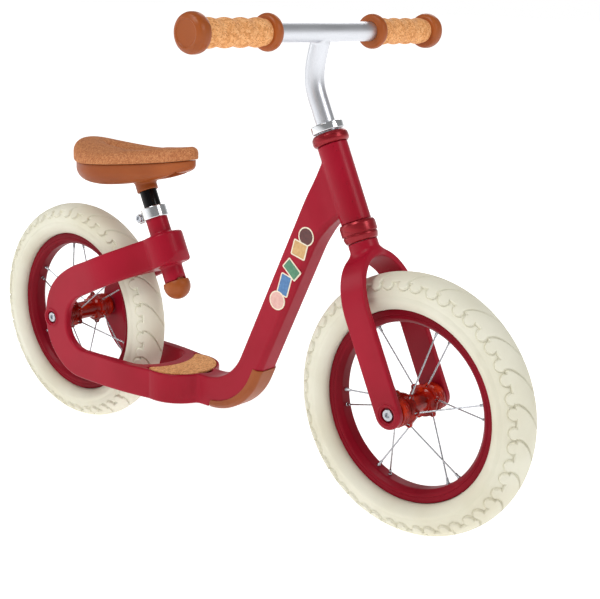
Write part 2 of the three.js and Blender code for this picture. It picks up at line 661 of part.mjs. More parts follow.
// The spool: two lobed flanges on a barrel, with a bearing pocket in each end.
function hubSolid(first) {
  const { barrel, end, flange, lobe, flangeY, halfLength, bore } = hub;
  const thickness = 4;
  const waist = flangeY - 6;
  const body = solid(turned([
    [0, -halfLength], [end, -halfLength], [end, -flangeY], [barrel, -waist], [barrel, waist],
    [end, flangeY], [end, halfLength], [0, halfLength],
  ], round));
  const flanges = [];
  for (const side of [1, -1]) {
    const y = side * flangeY;
    flanges.push(solid(turned(rod(flange, y - thickness / 2, y + thickness / 2), round)));
    for (let i = 0; i < spoke.pairs; i += 1) {
      const angle = (pairAngle(first, i) + side * spoke.hubSpread) * degrees;
      const lobeDisc = turned(rod(lobe, y - thickness / 2, y + thickness / 2), 8);
      flanges.push(solid(lobeDisc.translate(flange * Math.cos(angle), 0, flange * Math.sin(angle))));
    }
  }
  const pocket = bearing.outer + gap;
  const pocketFloor = halfLength - bearing.width - gap;
  const cuts = [
    solid(turned(rod(bore, -halfLength - 2, halfLength + 2), round)),
    solid(turned(rod(pocket, pocketFloor, halfLength + 2), round)),
    solid(turned(rod(pocket, -halfLength - 2, -pocketFloor), round)),
  ];
  return surface(cut(join([body, ...flanges]), cuts));
}

function pairAngle(first, pair) {
  return first + (pair * 360) / spoke.pairs;
}

// One spoke with its nipple, built up +Y from the hub end and then aimed at the rim. The two spokes of
// a pair start on different flanges and cross on their way out.
function spokeGeometry(first, pair, side) {
  const { radius, nippleRadius, nippleLength, rimSpread, hubSpread } = spoke;
  const hubAngle = (pairAngle(first, pair) + side * hubSpread) * degrees;
  const rimAngle = (pairAngle(first, pair) - side * rimSpread) * degrees;
  const hubReach = hub.flange + hub.lobe + gap + 0.4;
  const rimReach = rim.innerRadius - gap - 0.3;
  const from = new THREE.Vector3(hubReach * Math.cos(hubAngle), side * hub.flangeY, hubReach * Math.sin(hubAngle));
  const to = new THREE.Vector3(rimReach * Math.cos(rimAngle), 0, rimReach * Math.sin(rimAngle));
  const length = from.distanceTo(to);
  const profile = [
    [0, 0], [radius, 0], [radius, length - nippleLength], [nippleRadius, length - nippleLength + 0.8],
    [nippleRadius, length - 0.4], [0, length - 0.4],
  ];
  const turn = new THREE.Quaternion().setFromUnitVectors(
    new THREE.Vector3(0, 1, 0),
    to.clone().sub(from).normalize(),
  );
  return turned(profile, 6).applyQuaternion(turn).translate(from.x, from.y, from.z);
}

function makeWheel(name, x) {
  const first = firstPair[name];
  const wheel = new THREE.Group();
  wheel.position.set(x, 0, tyre.radius);
  bike.add(wheel);
  place(`${name}_tyre`, closed(turned(tyreProfile(), tyre.segments)), ivoryTyre, wheel);
  place(`${name}_rim`, closed(turned(rimProfile(), tyre.segments)), crimson, wheel);
  place(`${name}_hub`, hubSolid(first), amberPlastic, wheel);
  const low = hub.halfLength - bearing.width;
  for (const [side, sign] of [['left', 1], ['right', -1]]) {
    const race = turned(ring(bearing.inner, bearing.outer, low, hub.halfLength), 16).scale(1, sign, 1);
    place(`${name}_bearing_${side}`, closed(race), steel, wheel);
  }
  for (let pair = 0; pair < spoke.pairs; pair += 1) {
    for (const [side, sign] of [['left', 1], ['right', -1]]) {
      place(`${name}_spoke_${side}_${pair + 1}`, closed(spokeGeometry(first, pair, sign)), steel, wheel);
    }
  }
}

// ---------------------------------------------------------------- the bike
makeFrame();
makeDeckPad();
makeBendGuard();
makeSeatTubePlug();
makeSeatClamp();
makeHeadsetCups();
makeAxle('rear', rearX, loop.inner, loop.outer);
makeWheel('rear', rearX);
makeFork();
makeStemClamp();
makeAxle('front', frontX, fork.legInner, fork.legOuter);
makeHandlebar();
makeGrips();
makeSaddle();
makeSeatPost();
makeWheel('front', frontX);

export default bike;
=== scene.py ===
import math
from types import SimpleNamespace as Sizes

import bmesh
import bpy
import numpy as np
from mathutils import Matrix, Vector


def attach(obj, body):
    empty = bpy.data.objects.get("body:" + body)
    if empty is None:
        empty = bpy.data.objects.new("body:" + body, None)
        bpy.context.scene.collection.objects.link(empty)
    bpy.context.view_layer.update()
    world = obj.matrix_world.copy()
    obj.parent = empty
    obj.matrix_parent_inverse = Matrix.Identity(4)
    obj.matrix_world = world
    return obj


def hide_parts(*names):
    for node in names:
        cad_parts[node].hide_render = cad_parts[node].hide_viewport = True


# The looks of a toddler's balance bike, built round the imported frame. Shapes are worked out in
# millimetres, in the frame's own axes (X forwards, Y to the rider's left, Z up), and each mesh is
# turned into metres as it is made.

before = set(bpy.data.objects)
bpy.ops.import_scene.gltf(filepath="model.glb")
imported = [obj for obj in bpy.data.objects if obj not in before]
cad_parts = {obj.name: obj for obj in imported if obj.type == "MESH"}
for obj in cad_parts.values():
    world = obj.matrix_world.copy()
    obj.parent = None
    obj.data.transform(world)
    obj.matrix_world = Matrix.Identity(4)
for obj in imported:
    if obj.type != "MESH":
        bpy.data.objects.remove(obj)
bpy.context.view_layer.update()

# ---------------------------------------------------------------- driving dimensions
MM = 0.001
DEG = math.pi / 180

FRONT_X = 279
REAR_X = -279
TYRE = Sizes(radius=150, core=126, half_width=26, bead=110.4, bead_half=13.8, bead_inner=10)
TREAD = Sizes(lobes=48, pitch=18, edge=21, lobe=6.2, lobe_at=24, pairing=1.2, height=2.6, wall=0.8, end=44)
GROOVE = Sizes(depth=2.2, half=1.6, wall=0.9, phase=0.1, crease=1)
RIM = Sizes(radius=110, inner=95, edge=99, half_width=12.5, seat=102.3, crest=6)
HUB = Sizes(barrel=12, end=16.6, flange=18.6, lobe=3.4, flange_y=20, half_length=40.5, bore=9, neck_y=26)
HUB_RINGS = (29.5, 33, 36.5)
BEARING = Sizes(outer=11, inner=4, width=7)
SPOKE = Sizes(radius=0.9, pairs=6, rim_spread=5.5, hub_spread=8, hole=1.3, nipple=1.6, nipple_length=8)
FIRST_PAIR = {"front": 8.5, "rear": 35.5}
BOSS = Sizes(radius=14, height=1.2, recess=8.6, depth=5, hole=3.1)
BOLT = Sizes(head=6.6, height=4, shank=2.4, length=18, socket=2.9)
AXLE = Sizes(radius=3.7, collar=6.2)

HEAD = Sizes(lean=24.9 * DEG, radius=17.3, bore=15.3, low=212.9, high=304)
CUP = Sizes(bore=13, spigot=15, low=190.4, lip=212.6, seat=304.3, top=316.9, low_radius=20.7, high_radius=21)
CLAMP = Sizes(low=318.4, high=327.4, radius=19, bore=11.8)
STEERER = Sizes(radius=12.7, bore=11.4, top=327)
FORK = Sizes(inner=42.5, outer=50.5, half_depth=16.3, shoulder=112, arch=169.5, crown=178, neck=17, top=190.1)
BAR = Sizes(radius=11.1, forward=34.1, height=423, half_length=195.5, low=252, bend=358)
GRIP = Sizes(inner=86, outer=212.6, core=13.2, flange=20, cap=20.8)
SLEEVE = Sizes(radius=15.4, start=98.5, end=193.9, ridges=4)

SEAT = Sizes(lean=25 * DEG, x=-132, z=300, radius=14.1, low=-84, high=15, bore=11.4)
COLLAR = Sizes(low=0.8, high=16, radius=16.6, bore=11.9, ear=12, ear_half=5.5, slot=1.6, hole=2.7, bolt=2.3)
POST = Sizes(radius=11.1, low=-58, high=61)
SOCKET = Sizes(low=38.5, high=58, radius=13.8)
BAND = Sizes(low=-62, high=-21.8, nose=26.8, inner=-39, flare=-98)
LOOP = Sizes(outer=57, inner=46)
DECK = Sizes(low=76.5, high=115.5, radius=50, centre=-86, slot=-135, slot_depth=33, slot_half=42.5)
PAD = Sizes(radius=46, cut_radius=61, cut=-147, depth=2, high=116.1)
SPINE = Sizes(half=17, narrowing=3, band=7.5, line=-33.3, depth=34.4, lean=24.3 * DEG, back=-70)
BEND = Sizes(inner=66, outer=87, end=-24.3)
GUARD = Sizes(proud=1.2, width=10, riser=17)
BALL = Sizes(radius=17.4, centre=-90)
SADDLE = Sizes(rear=-269, nose=-62, half=61, nose_half=27, power=0.93, low=341, edge=367, top=394.5)
PATCH_BORDER = 1.6
CAMERA = Sizes(place=(0.9719, -1.0494, 0.5912), azimuth=39.35 * DEG, elevation=14.553 * DEG, roll=1.811 * DEG)


def leaning(x, z, lean):
    """Where a leaning axis is: its own Z runs up along it, and its own X forwards across it."""
    return Matrix.Translation((x, 0, z)) @ Matrix.Rotation(-lean, 4, "Y")


STEERING_PLACE = leaning(FRONT_X, TYRE.radius, HEAD.lean)
SEAT_PLACE = leaning(SEAT.x, SEAT.z, SEAT.lean)
BAR_PLACE = STEERING_PLACE @ Matrix.Translation((BAR.forward, 0, BAR.height))
AXLE_PLACE = {
    "front": Matrix.Translation((FRONT_X, 0, TYRE.radius)),
    "rear": Matrix.Translation((REAR_X, 0, TYRE.radius)),
}


# ---------------------------------------------------------------- materials
def rgb(code):
    """A display colour such as a51a2a as the linear values that a shader takes."""
    values = [int(code[i : i + 2], 16) / 255 for i in (0, 2, 4)]
    return [v / 12.92 if v <= 0.04045 else ((v + 0.055) / 1.055) ** 2.4 for v in values] + [1]


class Finish:
    """A material round one Principled shader, with the record's slot that it belongs to."""

    def __init__(self, name, slot, settings):
        self.material = bpy.data.materials.new(name)
        self.material.use_nodes = True
        self.slot = slot
        self.tree = self.material.node_tree
        self.shader = self.tree.nodes["Principled BSDF"]
        self.position = self.tree.nodes.new("ShaderNodeTexCoord").outputs["Object"]
        self.height = None
        for socket, value in settings.items():
            self.shader.inputs[socket].default_value = value

    def node(self, kind, inputs, **properties):
        made = self.tree.nodes.new(kind)
        for name, value in properties.items():
            setattr(made, name, value)
        for socket, value in inputs.items():
            if isinstance(value, bpy.types.NodeSocket):
                self.tree.links.new(value, made.inputs[socket])
            else:
                made.inputs[socket].default_value = value
        return made

    def stretched(self, scale):
        """The position squeezed by a factor on each axis."""
        return self.node("ShaderNodeMapping", {"Vector": self.position, "Scale": scale}).outputs["Vector"]

    def noise(self, scale, detail=2, vector=None):
        inputs = {"Vector": vector or self.position, "Scale": scale, "Detail": detail}
        return self.node("ShaderNodeTexNoise", inputs).outputs["Fac"]

    def ramp(self, value, *stops):
        """A colour for each value, from pairs of position and colour code."""
        made = self.node("ShaderNodeValToRGB", {"Fac": value})
        elements = made.color_ramp.elements
        while len(elements) < len(stops):
            elements.new(0.5)
        for element, (position, code) in zip(elements, stops):
            element.position = position
            element.color = rgb(code)
        return made.outputs["Color"]

    def scaled(self, value, low, high, start=0.3, end=0.7):
        inputs = {"Value": value, "From Min": start, "From Max": end, "To Min": low, "To Max": high}
        return self.node("ShaderNodeMapRange", inputs).outputs["Result"]

    def stained(self, factor, base, stain):
        """A colour that turns into a stain of another colour where the factor is high."""
        made = self.node("ShaderNodeMix", {"Factor": factor}, data_type="RGBA")
        first, second = [s for s in made.inputs if s.type == "RGBA"]
        self.tree.links.new(base, first)
        second.default_value = rgb(stain)
        return [s for s in made.outputs if s.type == "RGBA"][0]

    def colour(self, value):
        self.tree.links.new(value, self.shader.inputs["Base Color"])

    def roughness(self, value):
        self.tree.links.new(value, self.shader.inputs["Roughness"])

    def bump(self, value, depth):
        """Adds relief of a depth in millimetres, on top of any relief added before."""
        inputs = {"Height": value, "Distance": depth * MM}
        if self.height:
            inputs["Normal"] = self.height
        self.height = self.node("ShaderNodeBump", inputs).outputs["Normal"]
        self.tree.links.new(self.height, self.shader.inputs["Normal"])


def painted(name, slot, deep, mid, light, gloss):
    """Satin powder coat: a little orange peel, and a colour that drifts slightly."""
    settings = {"Coat Weight": gloss / 2, "Coat Roughness": 0.2, "Specular IOR Level": gloss}
    finish = Finish(name, slot, settings)
    drift = finish.noise(9, 3)
    finish.colour(finish.ramp(drift, (0.3, deep), (0.5, mid), (0.7, light)))
    finish.roughness(finish.scaled(finish.noise(60, 4), 0.36, 0.44))
    finish.bump(finish.noise(900, 2), 0.02)
    return finish


def anodised(name, slot):
    """Dark red cups: thin dye over metal, with faint turning marks."""
    finish = Finish(name, slot, {"Metallic": 0.45})
    marks = finish.noise(40, 4, finish.stretched((1, 1, 12)))
    finish.colour(finish.ramp(marks, (0.3, "860d1a"), (0.7, "9a1220")))
    finish.roughness(finish.scaled(marks, 0.26, 0.36))
    return finish


def rubber(name, slot):
    """Ivory foam rubber: matt, a little yellower in patches, with a fine grain."""
    finish = Finish(name, slot, {"Specular IOR Level": 0.35})
    patches = finish.noise(14, 4)
    finish.colour(finish.ramp(patches, (0.3, "d8d3bd"), (0.55, "dfdcc9"), (0.75, "e5e2d1")))
    finish.roughness(finish.scaled(finish.noise(120, 3), 0.62, 0.78))
    finish.bump(finish.noise(1500, 3), 0.05)
    return finish


def cork(name, slot, grain, dark, base, light, fleck):
    """Pressed cork: granules of slightly different tan, and darker flecks and pits between them."""
    finish = Finish(name, slot, {"Specular IOR Level": 0.25})
    drift = finish.node("ShaderNodeTexNoise", {"Vector": finish.position, "Scale": grain}).outputs["Color"]
    warp = {0: drift, 1: (1 / grain,) * 3, 2: finish.position}
    where = finish.node("ShaderNodeVectorMath", warp, operation="MULTIPLY_ADD").outputs[0]
    granule = finish.node("ShaderNodeTexVoronoi", {"Vector": where, "Scale": grain}).outputs["Color"]
    tone = finish.node("ShaderNodeRGBToBW", {"Color": granule}).outputs["Val"]
    body = finish.ramp(tone, (0.2, dark), (0.5, base), (0.8, light))
    specks = finish.scaled(finish.noise(grain * 2.2, 3), 0, 0.85, 0.57, 0.63)
    finish.colour(finish.stained(specks, body, fleck))
    finish.roughness(finish.scaled(tone, 0.66, 0.86))
    finish.bump(specks, -0.15)
    finish.bump(finish.noise(grain * 3, 4), 0.06)
    return finish


def moulded(name, slot, deep, mid, light):
    """Smooth moulded plastic with a faint grain."""
    finish = Finish(name, slot, {"Specular IOR Level": 0.3, "Subsurface Weight": 0.02})
    finish.colour(finish.ramp(finish.noise(16, 3), (0.3, deep), (0.5, mid), (0.7, light)))
    finish.roughness(finish.scaled(finish.noise(80, 3), 0.35, 0.46))
    finish.bump(finish.noise(1200, 2), 0.015)
    return finish


def metal(name, slot, dark, light, low, high, grain):
    """Bare metal with an even polish and only the finest marks in it."""
    finish = Finish(name, slot, {"Metallic": 1.0})
    marks = finish.noise(grain, 2)
    finish.colour(finish.ramp(marks, (0.3, dark), (0.7, light)))
    finish.roughness(finish.scaled(finish.noise(25, 2), low, high))
    return finish


def enamelled(name, slot):
    """Black glossy enamel on steel, with rub marks along it."""
    finish = Finish(name, slot, {"Coat Weight": 0.14, "Coat Roughness": 0.06, "Specular IOR Level": 0.1})
    marks = finish.noise(70, 4, finish.stretched((1, 1, 0.2)))
    finish.colour(finish.ramp(marks, (0.3, "050405"), (0.75, "0a090a")))
    finish.roughness(finish.scaled(marks, 0.2, 0.3))
    return finish


def clear_red(name, slot):
    """Dyed clear plastic: deep red, with orange in noise-spread patches that are a painted glint of light
    coming through it. The patches do not follow its thickness.
    """
    settings = {"Transmission Weight": 0.04, "IOR": 1.49, "Specular IOR Level": 0.25}
    finish = Finish(name, slot, settings)
    depth = finish.noise(70, 3)
    # The orange end of this ramp is a painted glint of light through the plastic; the value called depth here
    # is plain noise, not thickness.
    finish.colour(finish.ramp(depth, (0.32, "700a03"), (0.55, "9c1203"), (0.72, "cc3208")))
    finish.roughness(finish.scaled(finish.noise(90, 2), 0.1, 0.2))
    return finish


def printed(name, slot, dark, light):
    """Printed vinyl with a slightly uneven ink."""
    finish = Finish(name, slot, {"Coat Weight": 0.2, "Coat Roughness": 0.2})
    finish.colour(finish.ramp(finish.noise(300, 3), (0.35, dark), (0.65, light)))
    finish.roughness(finish.scaled(finish.noise(200, 2), 0.32, 0.42))
    return finish


CRIMSON = painted("crimson_powder_coat", "frame_paint", "8f0a1f", "9b0d26", "a5112b", 0.15)
RIM_PAINT = painted("rim_powder_coat", "rim_paint", "700817", "7c0b1c", "860f21", 0.07)
ANODISED = anodised("anodised_dark_red", "anodised_red")
IVORY = rubber("ivory_foam_rubber", "ivory_tyre")
CORK = cork("pressed_cork", "cork", 420, "d08d52", "e6a468", "f0b67e", "a25c28")
BROWN = moulded("brown_moulding", "brown_plastic", "8c4214", "964a18", "a0521e")
FOAM = cork("speckled_saddle_skin", "saddle_foam", 520, "ad6a40", "bd7a4d", "c98a5c", "874a26")
ENAMEL = enamelled("black_enamel", "black_steel")
ALUMINIUM = metal("satin_aluminium", "satin_aluminium", "d2d4d9", "dadce1", 0.36, 0.42, 900)
CHROME = metal("polished_chrome", "chrome", "dcdee1", "e6e8ea", 0.12, 0.17, 700)
STEEL = metal("bright_steel", "bright_steel", "a6a9ae", "c0c3c8", 0.22, 0.3, 700)
CLEAR_RED = clear_red("clear_dyed_plastic", "clear_amber")


# ---------------------------------------------------------------- making pieces
def add_piece(name, shape, finish, body, replaces=(), place=Matrix(), sharp=32):
    """Makes one piece from points and faces in millimetres, and lets it ride on a body."""
    points, faces = shape
    mesh = bpy.data.meshes.new(name)
    mesh.from_pydata(np.asarray(points, float).tolist(), [], [list(map(int, f)) for f in faces])
    mesh.transform(Matrix.Scale(MM, 4) @ place)
    work = bmesh.new()
    work.from_mesh(mesh)
    bmesh.ops.recalc_face_normals(work, faces=work.faces)
    work.to_mesh(mesh)
    work.free()
    mesh.shade_smooth()
    mesh.set_sharp_from_angle(angle=sharp * DEG)
    mesh.materials.append(finish.material)
    piece = bpy.data.objects.new(name, mesh)
    bpy.context.scene.collection.objects.link(piece)
    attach(piece, body)
    if replaces:
        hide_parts(*replaces)
    return piece


def merged(*shapes):
    """Several shapes as one, in one list of points."""
    points, faces = [], []
    for shape_points, shape_faces in shapes:
        faces += [[i + len(points) for i in f] for f in shape_faces]
        points += [list(p) for p in shape_points]
    return points, faces


def moved(shape, place):
    points, faces = shape
    return [place @ Vector(p) for p in points], faces


def flipped(shape):
    """The mirror image across the bike's middle plane."""
    points, faces = shape
    return [(x, -y, z) for x, y, z in points], [f[::-1] for f in faces]


# ---------------------------------------------------------------- turned pieces
def softened(profile, radius, steps=3):
    """A profile with its corners rounded, by at most a radius. One that ends on the axis stays open."""
    ring = profile[0] == profile[-1]
    corners = profile[:-1] if ring else profile
    count = len(corners)
    out = []
    for i, here in enumerate(corners):
        if not ring and i in (0, count - 1):
            out.append(here)
            continue
        here = Vector(here)
        before = Vector(corners[i - 1]) - here
        after = Vector(corners[(i + 1) % count]) - here
        reach = min(radius, before.length * 0.45, after.length * 0.45)
        start = here + before.normalized() * reach
        end = here + after.normalized() * reach
        for k in range(steps + 1):
            t = k / steps
            out.append(tuple((1 - t) ** 2 * start + 2 * t * (1 - t) * here + t * t * end))
    return out + out[:1] if ring else out


def lathe(profile, segments=96, axis="Z"):
    """Turns a profile of (radius, height) about an axis. A closed profile makes a ring."""
    ring = profile[0] == profile[-1]
    rows = profile[:-1] if ring else profile
    points, index = [], []
    for radius, height in rows:
        if radius < 1e-6:
            index.append([len(points)] * segments)
            points.append((0, 0, height))
            continue
        index.append(list(range(len(points), len(points) + segments)))
        for k in range(segments):
            angle = 2 * math.pi * k / segments
            points.append((radius * math.cos(angle), radius * math.sin(angle), height))
    faces = []
    for i in range(len(rows) if ring else len(rows) - 1):
        low, high = index[i], index[(i + 1) % len(rows)]
        for k in range(segments):
            corners = [low[k], low[k - 1], high[k - 1], high[k]]
            faces.append(list(dict.fromkeys(corners)))
    if axis == "Y":
        points = [(x, z, y) for x, y, z in points]
    return points, faces


# ---------------------------------------------------------------- distance fields
def smooth(t):
    t = np.clip(t, 0, 1)
    return t * t * (3 - 2 * t)


def slab(w, low, high):
    """The field of a layer between two heights."""
    return np.maximum(low - w, w - high)


def both(a, b, edge):
    """What lies in both fields, with the edge between them rounded to a radius."""
    outside = np.hypot(np.maximum(a + edge, 0), np.maximum(b + edge, 0))
    return outside + np.minimum(np.maximum(a, b) + edge, 0) - edge


def either(a, b, fillet=0.0):
    """What lies in one field or the other, with a fillet where they meet."""
    if not fillet:
        return np.minimum(a, b)
    overlap = np.maximum(fillet - np.abs(a - b), 0) / fillet
    return np.minimum(a, b) - overlap * overlap * fillet / 4


def without(a, b, edge=0.6):
    """The first field with the second one cut from it."""
    return -either(-a, b, edge)


def chamfered(a, b, width, edge):
    """What lies in both fields, with a flat band of a width cut between them."""
    band = (a + b) / math.sqrt(2) + width / 2
    return both(np.maximum(a, b), band, edge)


def rod(u, v, w, radius, low, high, edge=1.0):
    """The field of a cylinder along w, with both rims rounded."""
    return both(np.hypot(u, v) - radius, slab(w, low, high), edge)


def arc(centre, radius, start, end, steps=16):
    angles = np.linspace(start, end, steps + 1) * DEG
    return [(centre[0] + radius * math.cos(a), centre[1] + radius * math.sin(a)) for a in angles]


def bezier(a, b, c, d, steps=16):
    """Points along a cubic curve, without its first one."""
    a, b, c, d = (np.array(p, float) for p in (a, b, c, d))
    out = []
    for t in np.linspace(0, 1, steps + 1)[1:]:
        s = 1 - t
        out.append(tuple(s**3 * a + 3 * s * s * t * b + 3 * s * t * t * c + t**3 * d))
    return out


def mirrored(outline):
    """An open outline followed by its mirror image across the first axis."""
    return outline + [(u, -v) for u, v in reversed(outline)]


def forked(outside, inside):
    """A closed U from one half of its outer side, drawn to the axis, and of its inner side, drawn from it."""
    return mirrored(outside) + [(u, -v) for u, v in reversed(inside)] + inside


def path_distance(u, v, path):
    """Distance from points to an open path."""
    nearest = np.float32(1e9)
    for (x0, y0), (x1, y1) in zip(path, path[1:]):
        ex, ey = x1 - x0, y1 - y0
        length = ex * ex + ey * ey
        if length < 1e-12:
            continue
        t = np.clip(((u - x0) * ex + (v - y0) * ey) / length, 0, 1)
        nearest = np.minimum(nearest, (u - x0 - t * ex) ** 2 + (v - y0 - t * ey) ** 2)
    return np.sqrt(nearest)


def outline_distance(u, v, outline):
    """Distance from points to a closed outline, negative inside it."""
    closed = outline + outline[:1]
    inside = np.zeros(np.broadcast_shapes(np.shape(u), np.shape(v)), bool)
    for (x0, y0), (x1, y1) in zip(closed, closed[1:]):
        if abs(y1 - y0) > 1e-9:
            inside ^= ((y0 > v) != (y1 > v)) & (u < (x1 - x0) * (v - y0) / (y1 - y0) + x0)
    away = path_distance(u, v, closed)
    return np.where(inside, -away, away)


def tabulated(outline, margin=14, step=0.6):
    """The distance to an outline as a function that looks it up, for outlines askew to the grid."""
    low = np.min(outline, 0) - margin
    size = ((np.max(outline, 0) + margin - low) / step).astype(int) + 1
    u = low[0] + step * np.arange(size[0])[:, None]
    v = low[1] + step * np.arange(size[1])[None, :]
    table = outline_distance(u, v, outline).astype(np.float32)

    def distance(p, q):
        i = np.clip((p - low[0]) / step, 0, size[0] - 1.001)
        j = np.clip((q - low[1]) / step, 0, size[1] - 1.001)
        i, j = np.broadcast_arrays(i, j)
        a, b = i.astype(np.int32), j.astype(np.int32)
        s, t = (i - a).astype(np.float32), (j - b).astype(np.float32)
        near = table[a, b] * (1 - t) + table[a, b + 1] * t
        far = table[a + 1, b] * (1 - t) + table[a + 1, b + 1] * t
        return near * (1 - s) + far * s

    return distance


def surface_net(values, origin, step):
    """The zero surface of a sampled field: a point in each cell that it crosses, and quads between."""
    inside = values < 0
    shape = [n - 1 for n in values.shape]
    corners = [(i, j, k) for i in (0, 1) for j in (0, 1) for k in (0, 1)]
    count = np.zeros(shape, np.int8)
    for i, j, k in corners:
        count += inside[i : i + shape[0], j : j + shape[1], k : k + shape[2]]
    cells = np.argwhere((count > 0) & (count < 8))
    index = np.full(shape, -1, np.int32)
    index[tuple(cells.T)] = np.arange(len(cells))
    at = {c: values[tuple((cells + c).T)] for c in corners}
    total = np.zeros((len(cells), 3))
    crossings = np.zeros(len(cells))
    for corner in corners:
        for axis in range(3):
            if corner[axis]:
                continue
            a, b = at[corner], at[tuple(c + (n == axis) for n, c in enumerate(corner))]
            crossed = (a < 0) != (b < 0)
            share = np.where(crossed, a / np.where(crossed, a - b, 1), 0)
            point = np.tile(np.array(corner, float), (len(cells), 1))
            point[:, axis] += share
            total += point * crossed[:, None]
            crossings += crossed
    points = origin + step * (cells + total / crossings[:, None])
    faces = []
    for axis in range(3):
        u, v = (axis + 1) % 3, (axis + 2) % 3
        low = [slice(1, n - 1) for n in values.shape]
        high = list(low)
        low[axis], high[axis] = slice(0, -1), slice(1, None)
        here, there = inside[tuple(low)], inside[tuple(high)]
        edges = np.argwhere(here != there)
        starts = here[tuple(edges.T)]
        edges[:, u] += 1
        edges[:, v] += 1
        du, dv = np.eye(3, dtype=int)[u], np.eye(3, dtype=int)[v]
        ring = [edges - du - dv, edges - dv, edges, edges - du]
        quads = np.stack([index[tuple(r.T)] for r in ring], 1)
        faces.append(np.where(starts[:, None], quads, quads[:, ::-1]))
    return points, np.concatenate(faces)


def sculpted(field, low, high, step, symmetric=False):
    """Meshes a field inside a box, then moves each point exactly onto the surface."""
    low = list(low)
    if symmetric:
        low[1] = step / 2
    axes = [np.arange(a, b + step, step, dtype=np.float32) for a, b in zip(low, high)]
    x, y, z = axes[0][:, None, None], axes[1][None, :, None], axes[2][None, None, :]
    shape = [len(a) for a in axes]
    values = np.broadcast_to(field(x, y, z), shape).astype(np.float32)
    if symmetric:
        values = np.concatenate([values[:, ::-1], values], 1)
        low[1] = float(-axes[1][-1])
    points, faces = surface_net(values, np.array(low), step)
    nudge = 0.05
    for _ in range(2):
        here = field(*points.T)
        slope = np.stack([field(*(points + nudge * e).T) - here for e in np.eye(3)], 1) / nudge
        steepness = np.maximum((slope**2).sum(1), 0.25)
        shift = slope * (here / steepness)[:, None]
        points = points - np.clip(shift, -step / 2, step / 2)
    return points, faces


def in_leaning_frame(dx, dz, lean):
    """Across and along an axis that leans back, from the place beside its origin."""
    c, s = math.cos(lean), math.sin(lean)
    return dx * c + dz * s, dz * c - dx * s


def in_seat_frame(x, z):
    return in_leaning_frame(x - SEAT.x, z - SEAT.z, SEAT.lean)


def in_steering_frame(x, z):
    return in_leaning_frame(x - FRONT_X, z - TYRE.radius, HEAD.lean)


# ---------------------------------------------------------------- frame outlines
def seat_point(across, along):
    c, s = math.cos(SEAT.lean), math.sin(SEAT.lean)
    return SEAT.x + across * c - along * s, SEAT.z + across * s + along * c


def rear_loop_outline():
    """Side view of the C that carries the rear axle."""
    back, axle, front = REAR_X - 13, TYRE.radius, -205
    out = [(front, DECK.low), (-222, DECK.low)]
    out += bezier((-222, DECK.low), (-258, DECK.low), (back, 108), (back, axle))
    out += bezier((back, axle), (back, 190), (-272, 211), (-232, 230.5))
    out += [seat_point(BAND.flare, BAND.high), seat_point(BAND.flare, BAND.low), (-222, 189.5)]
    out += bezier((-222, 189.5), (-238, 182), (-249, 168), (-249, axle - 1))
    out += bezier((-249, axle - 1), (-249, 132), (-236, DECK.high), (-212, DECK.high))
    return out + [(front, DECK.high)]


def yoke_outline():
    """Plan, in the seat frame, of the tilted U that joins both rear loops round the seat tube."""
    back, tangent = BAND.flare - 14, 112
    touch = BAND.nose * math.cos(tangent * DEG), BAND.nose * math.sin(tangent * DEG)
    flare = (BAND.flare, LOOP.outer)
    out = [(back, LOOP.outer), flare]
    out += bezier(flare, (BAND.flare + 36, LOOP.outer), (touch[0] - 32, touch[1] + 12), touch)
    out += arc((0, 0), BAND.nose, tangent, 0, 12)[1:]
    inside = [(BAND.inner, 0)]
    ahead = (BAND.flare + 28, LOOP.inner)
    inside += bezier((BAND.inner, 0), (BAND.inner, 38), ahead, (BAND.flare, LOOP.inner))
    inside += [(back, LOOP.inner)]
    return forked(out, inside)


def deck_outline():
    """Plan of the footboard: a U round the rear wheel with a round front end."""
    back, tangent = -214, 100
    touch = (
        DECK.centre + DECK.radius * math.cos(tangent * DEG),
        DECK.radius * math.sin(tangent * DEG),
    )
    out = [(back, LOOP.outer), (-172, LOOP.outer)]
    out += bezier(out[-1], (-140, LOOP.outer), (touch[0] - 24, touch[1] + 4), touch)
    out += arc((DECK.centre, 0), DECK.radius, tangent, 0, 16)[1:]
    inside = [
        (DECK.slot + DECK.slot_depth * math.cos(a * DEG), DECK.slot_half * math.sin(a * DEG))
        for a in range(0, 91, 6)
    ]
    inside += bezier(
        inside[-1], (DECK.slot - 30, DECK.slot_half), (back + 30, LOOP.inner), (back, LOOP.inner)
    )
    return forked(out, inside)


UP_SPINE = (math.sin(SPINE.lean), math.cos(SPINE.lean))
ACROSS_SPINE = (math.cos(SPINE.lean), -math.sin(SPINE.lean))


def bend_centre(level, line, radius):
    """The centre of the bend between the footboard's level and a line up the down tube."""
    z = level + radius
    return (line - radius - z * ACROSS_SPINE[1]) / ACROSS_SPINE[0], z


def bend_point(centre, radius, rise):
    return (
        centre[0] + radius * ACROSS_SPINE[0] + rise * UP_SPINE[0],
        centre[1] + radius * ACROSS_SPINE[1] + rise * UP_SPINE[1],
    )


TOP_BEND = bend_centre(DECK.high, SPINE.line, BEND.inner)
BOTTOM_BEND = bend_centre(DECK.low, SPINE.line + SPINE.depth, BEND.outer)


def spine_rear_side():
    """A wide region whose edge is the rear face of the down tube and the top of its bend."""
    out = [(SPINE.back, DECK.high)]
    out += arc(TOP_BEND, BEND.inner, -90, BEND.end, 20)
    out += [bend_point(TOP_BEND, BEND.inner, 400), (500, 500), (500, 0)]
    return out + [(SPINE.back, 0)]


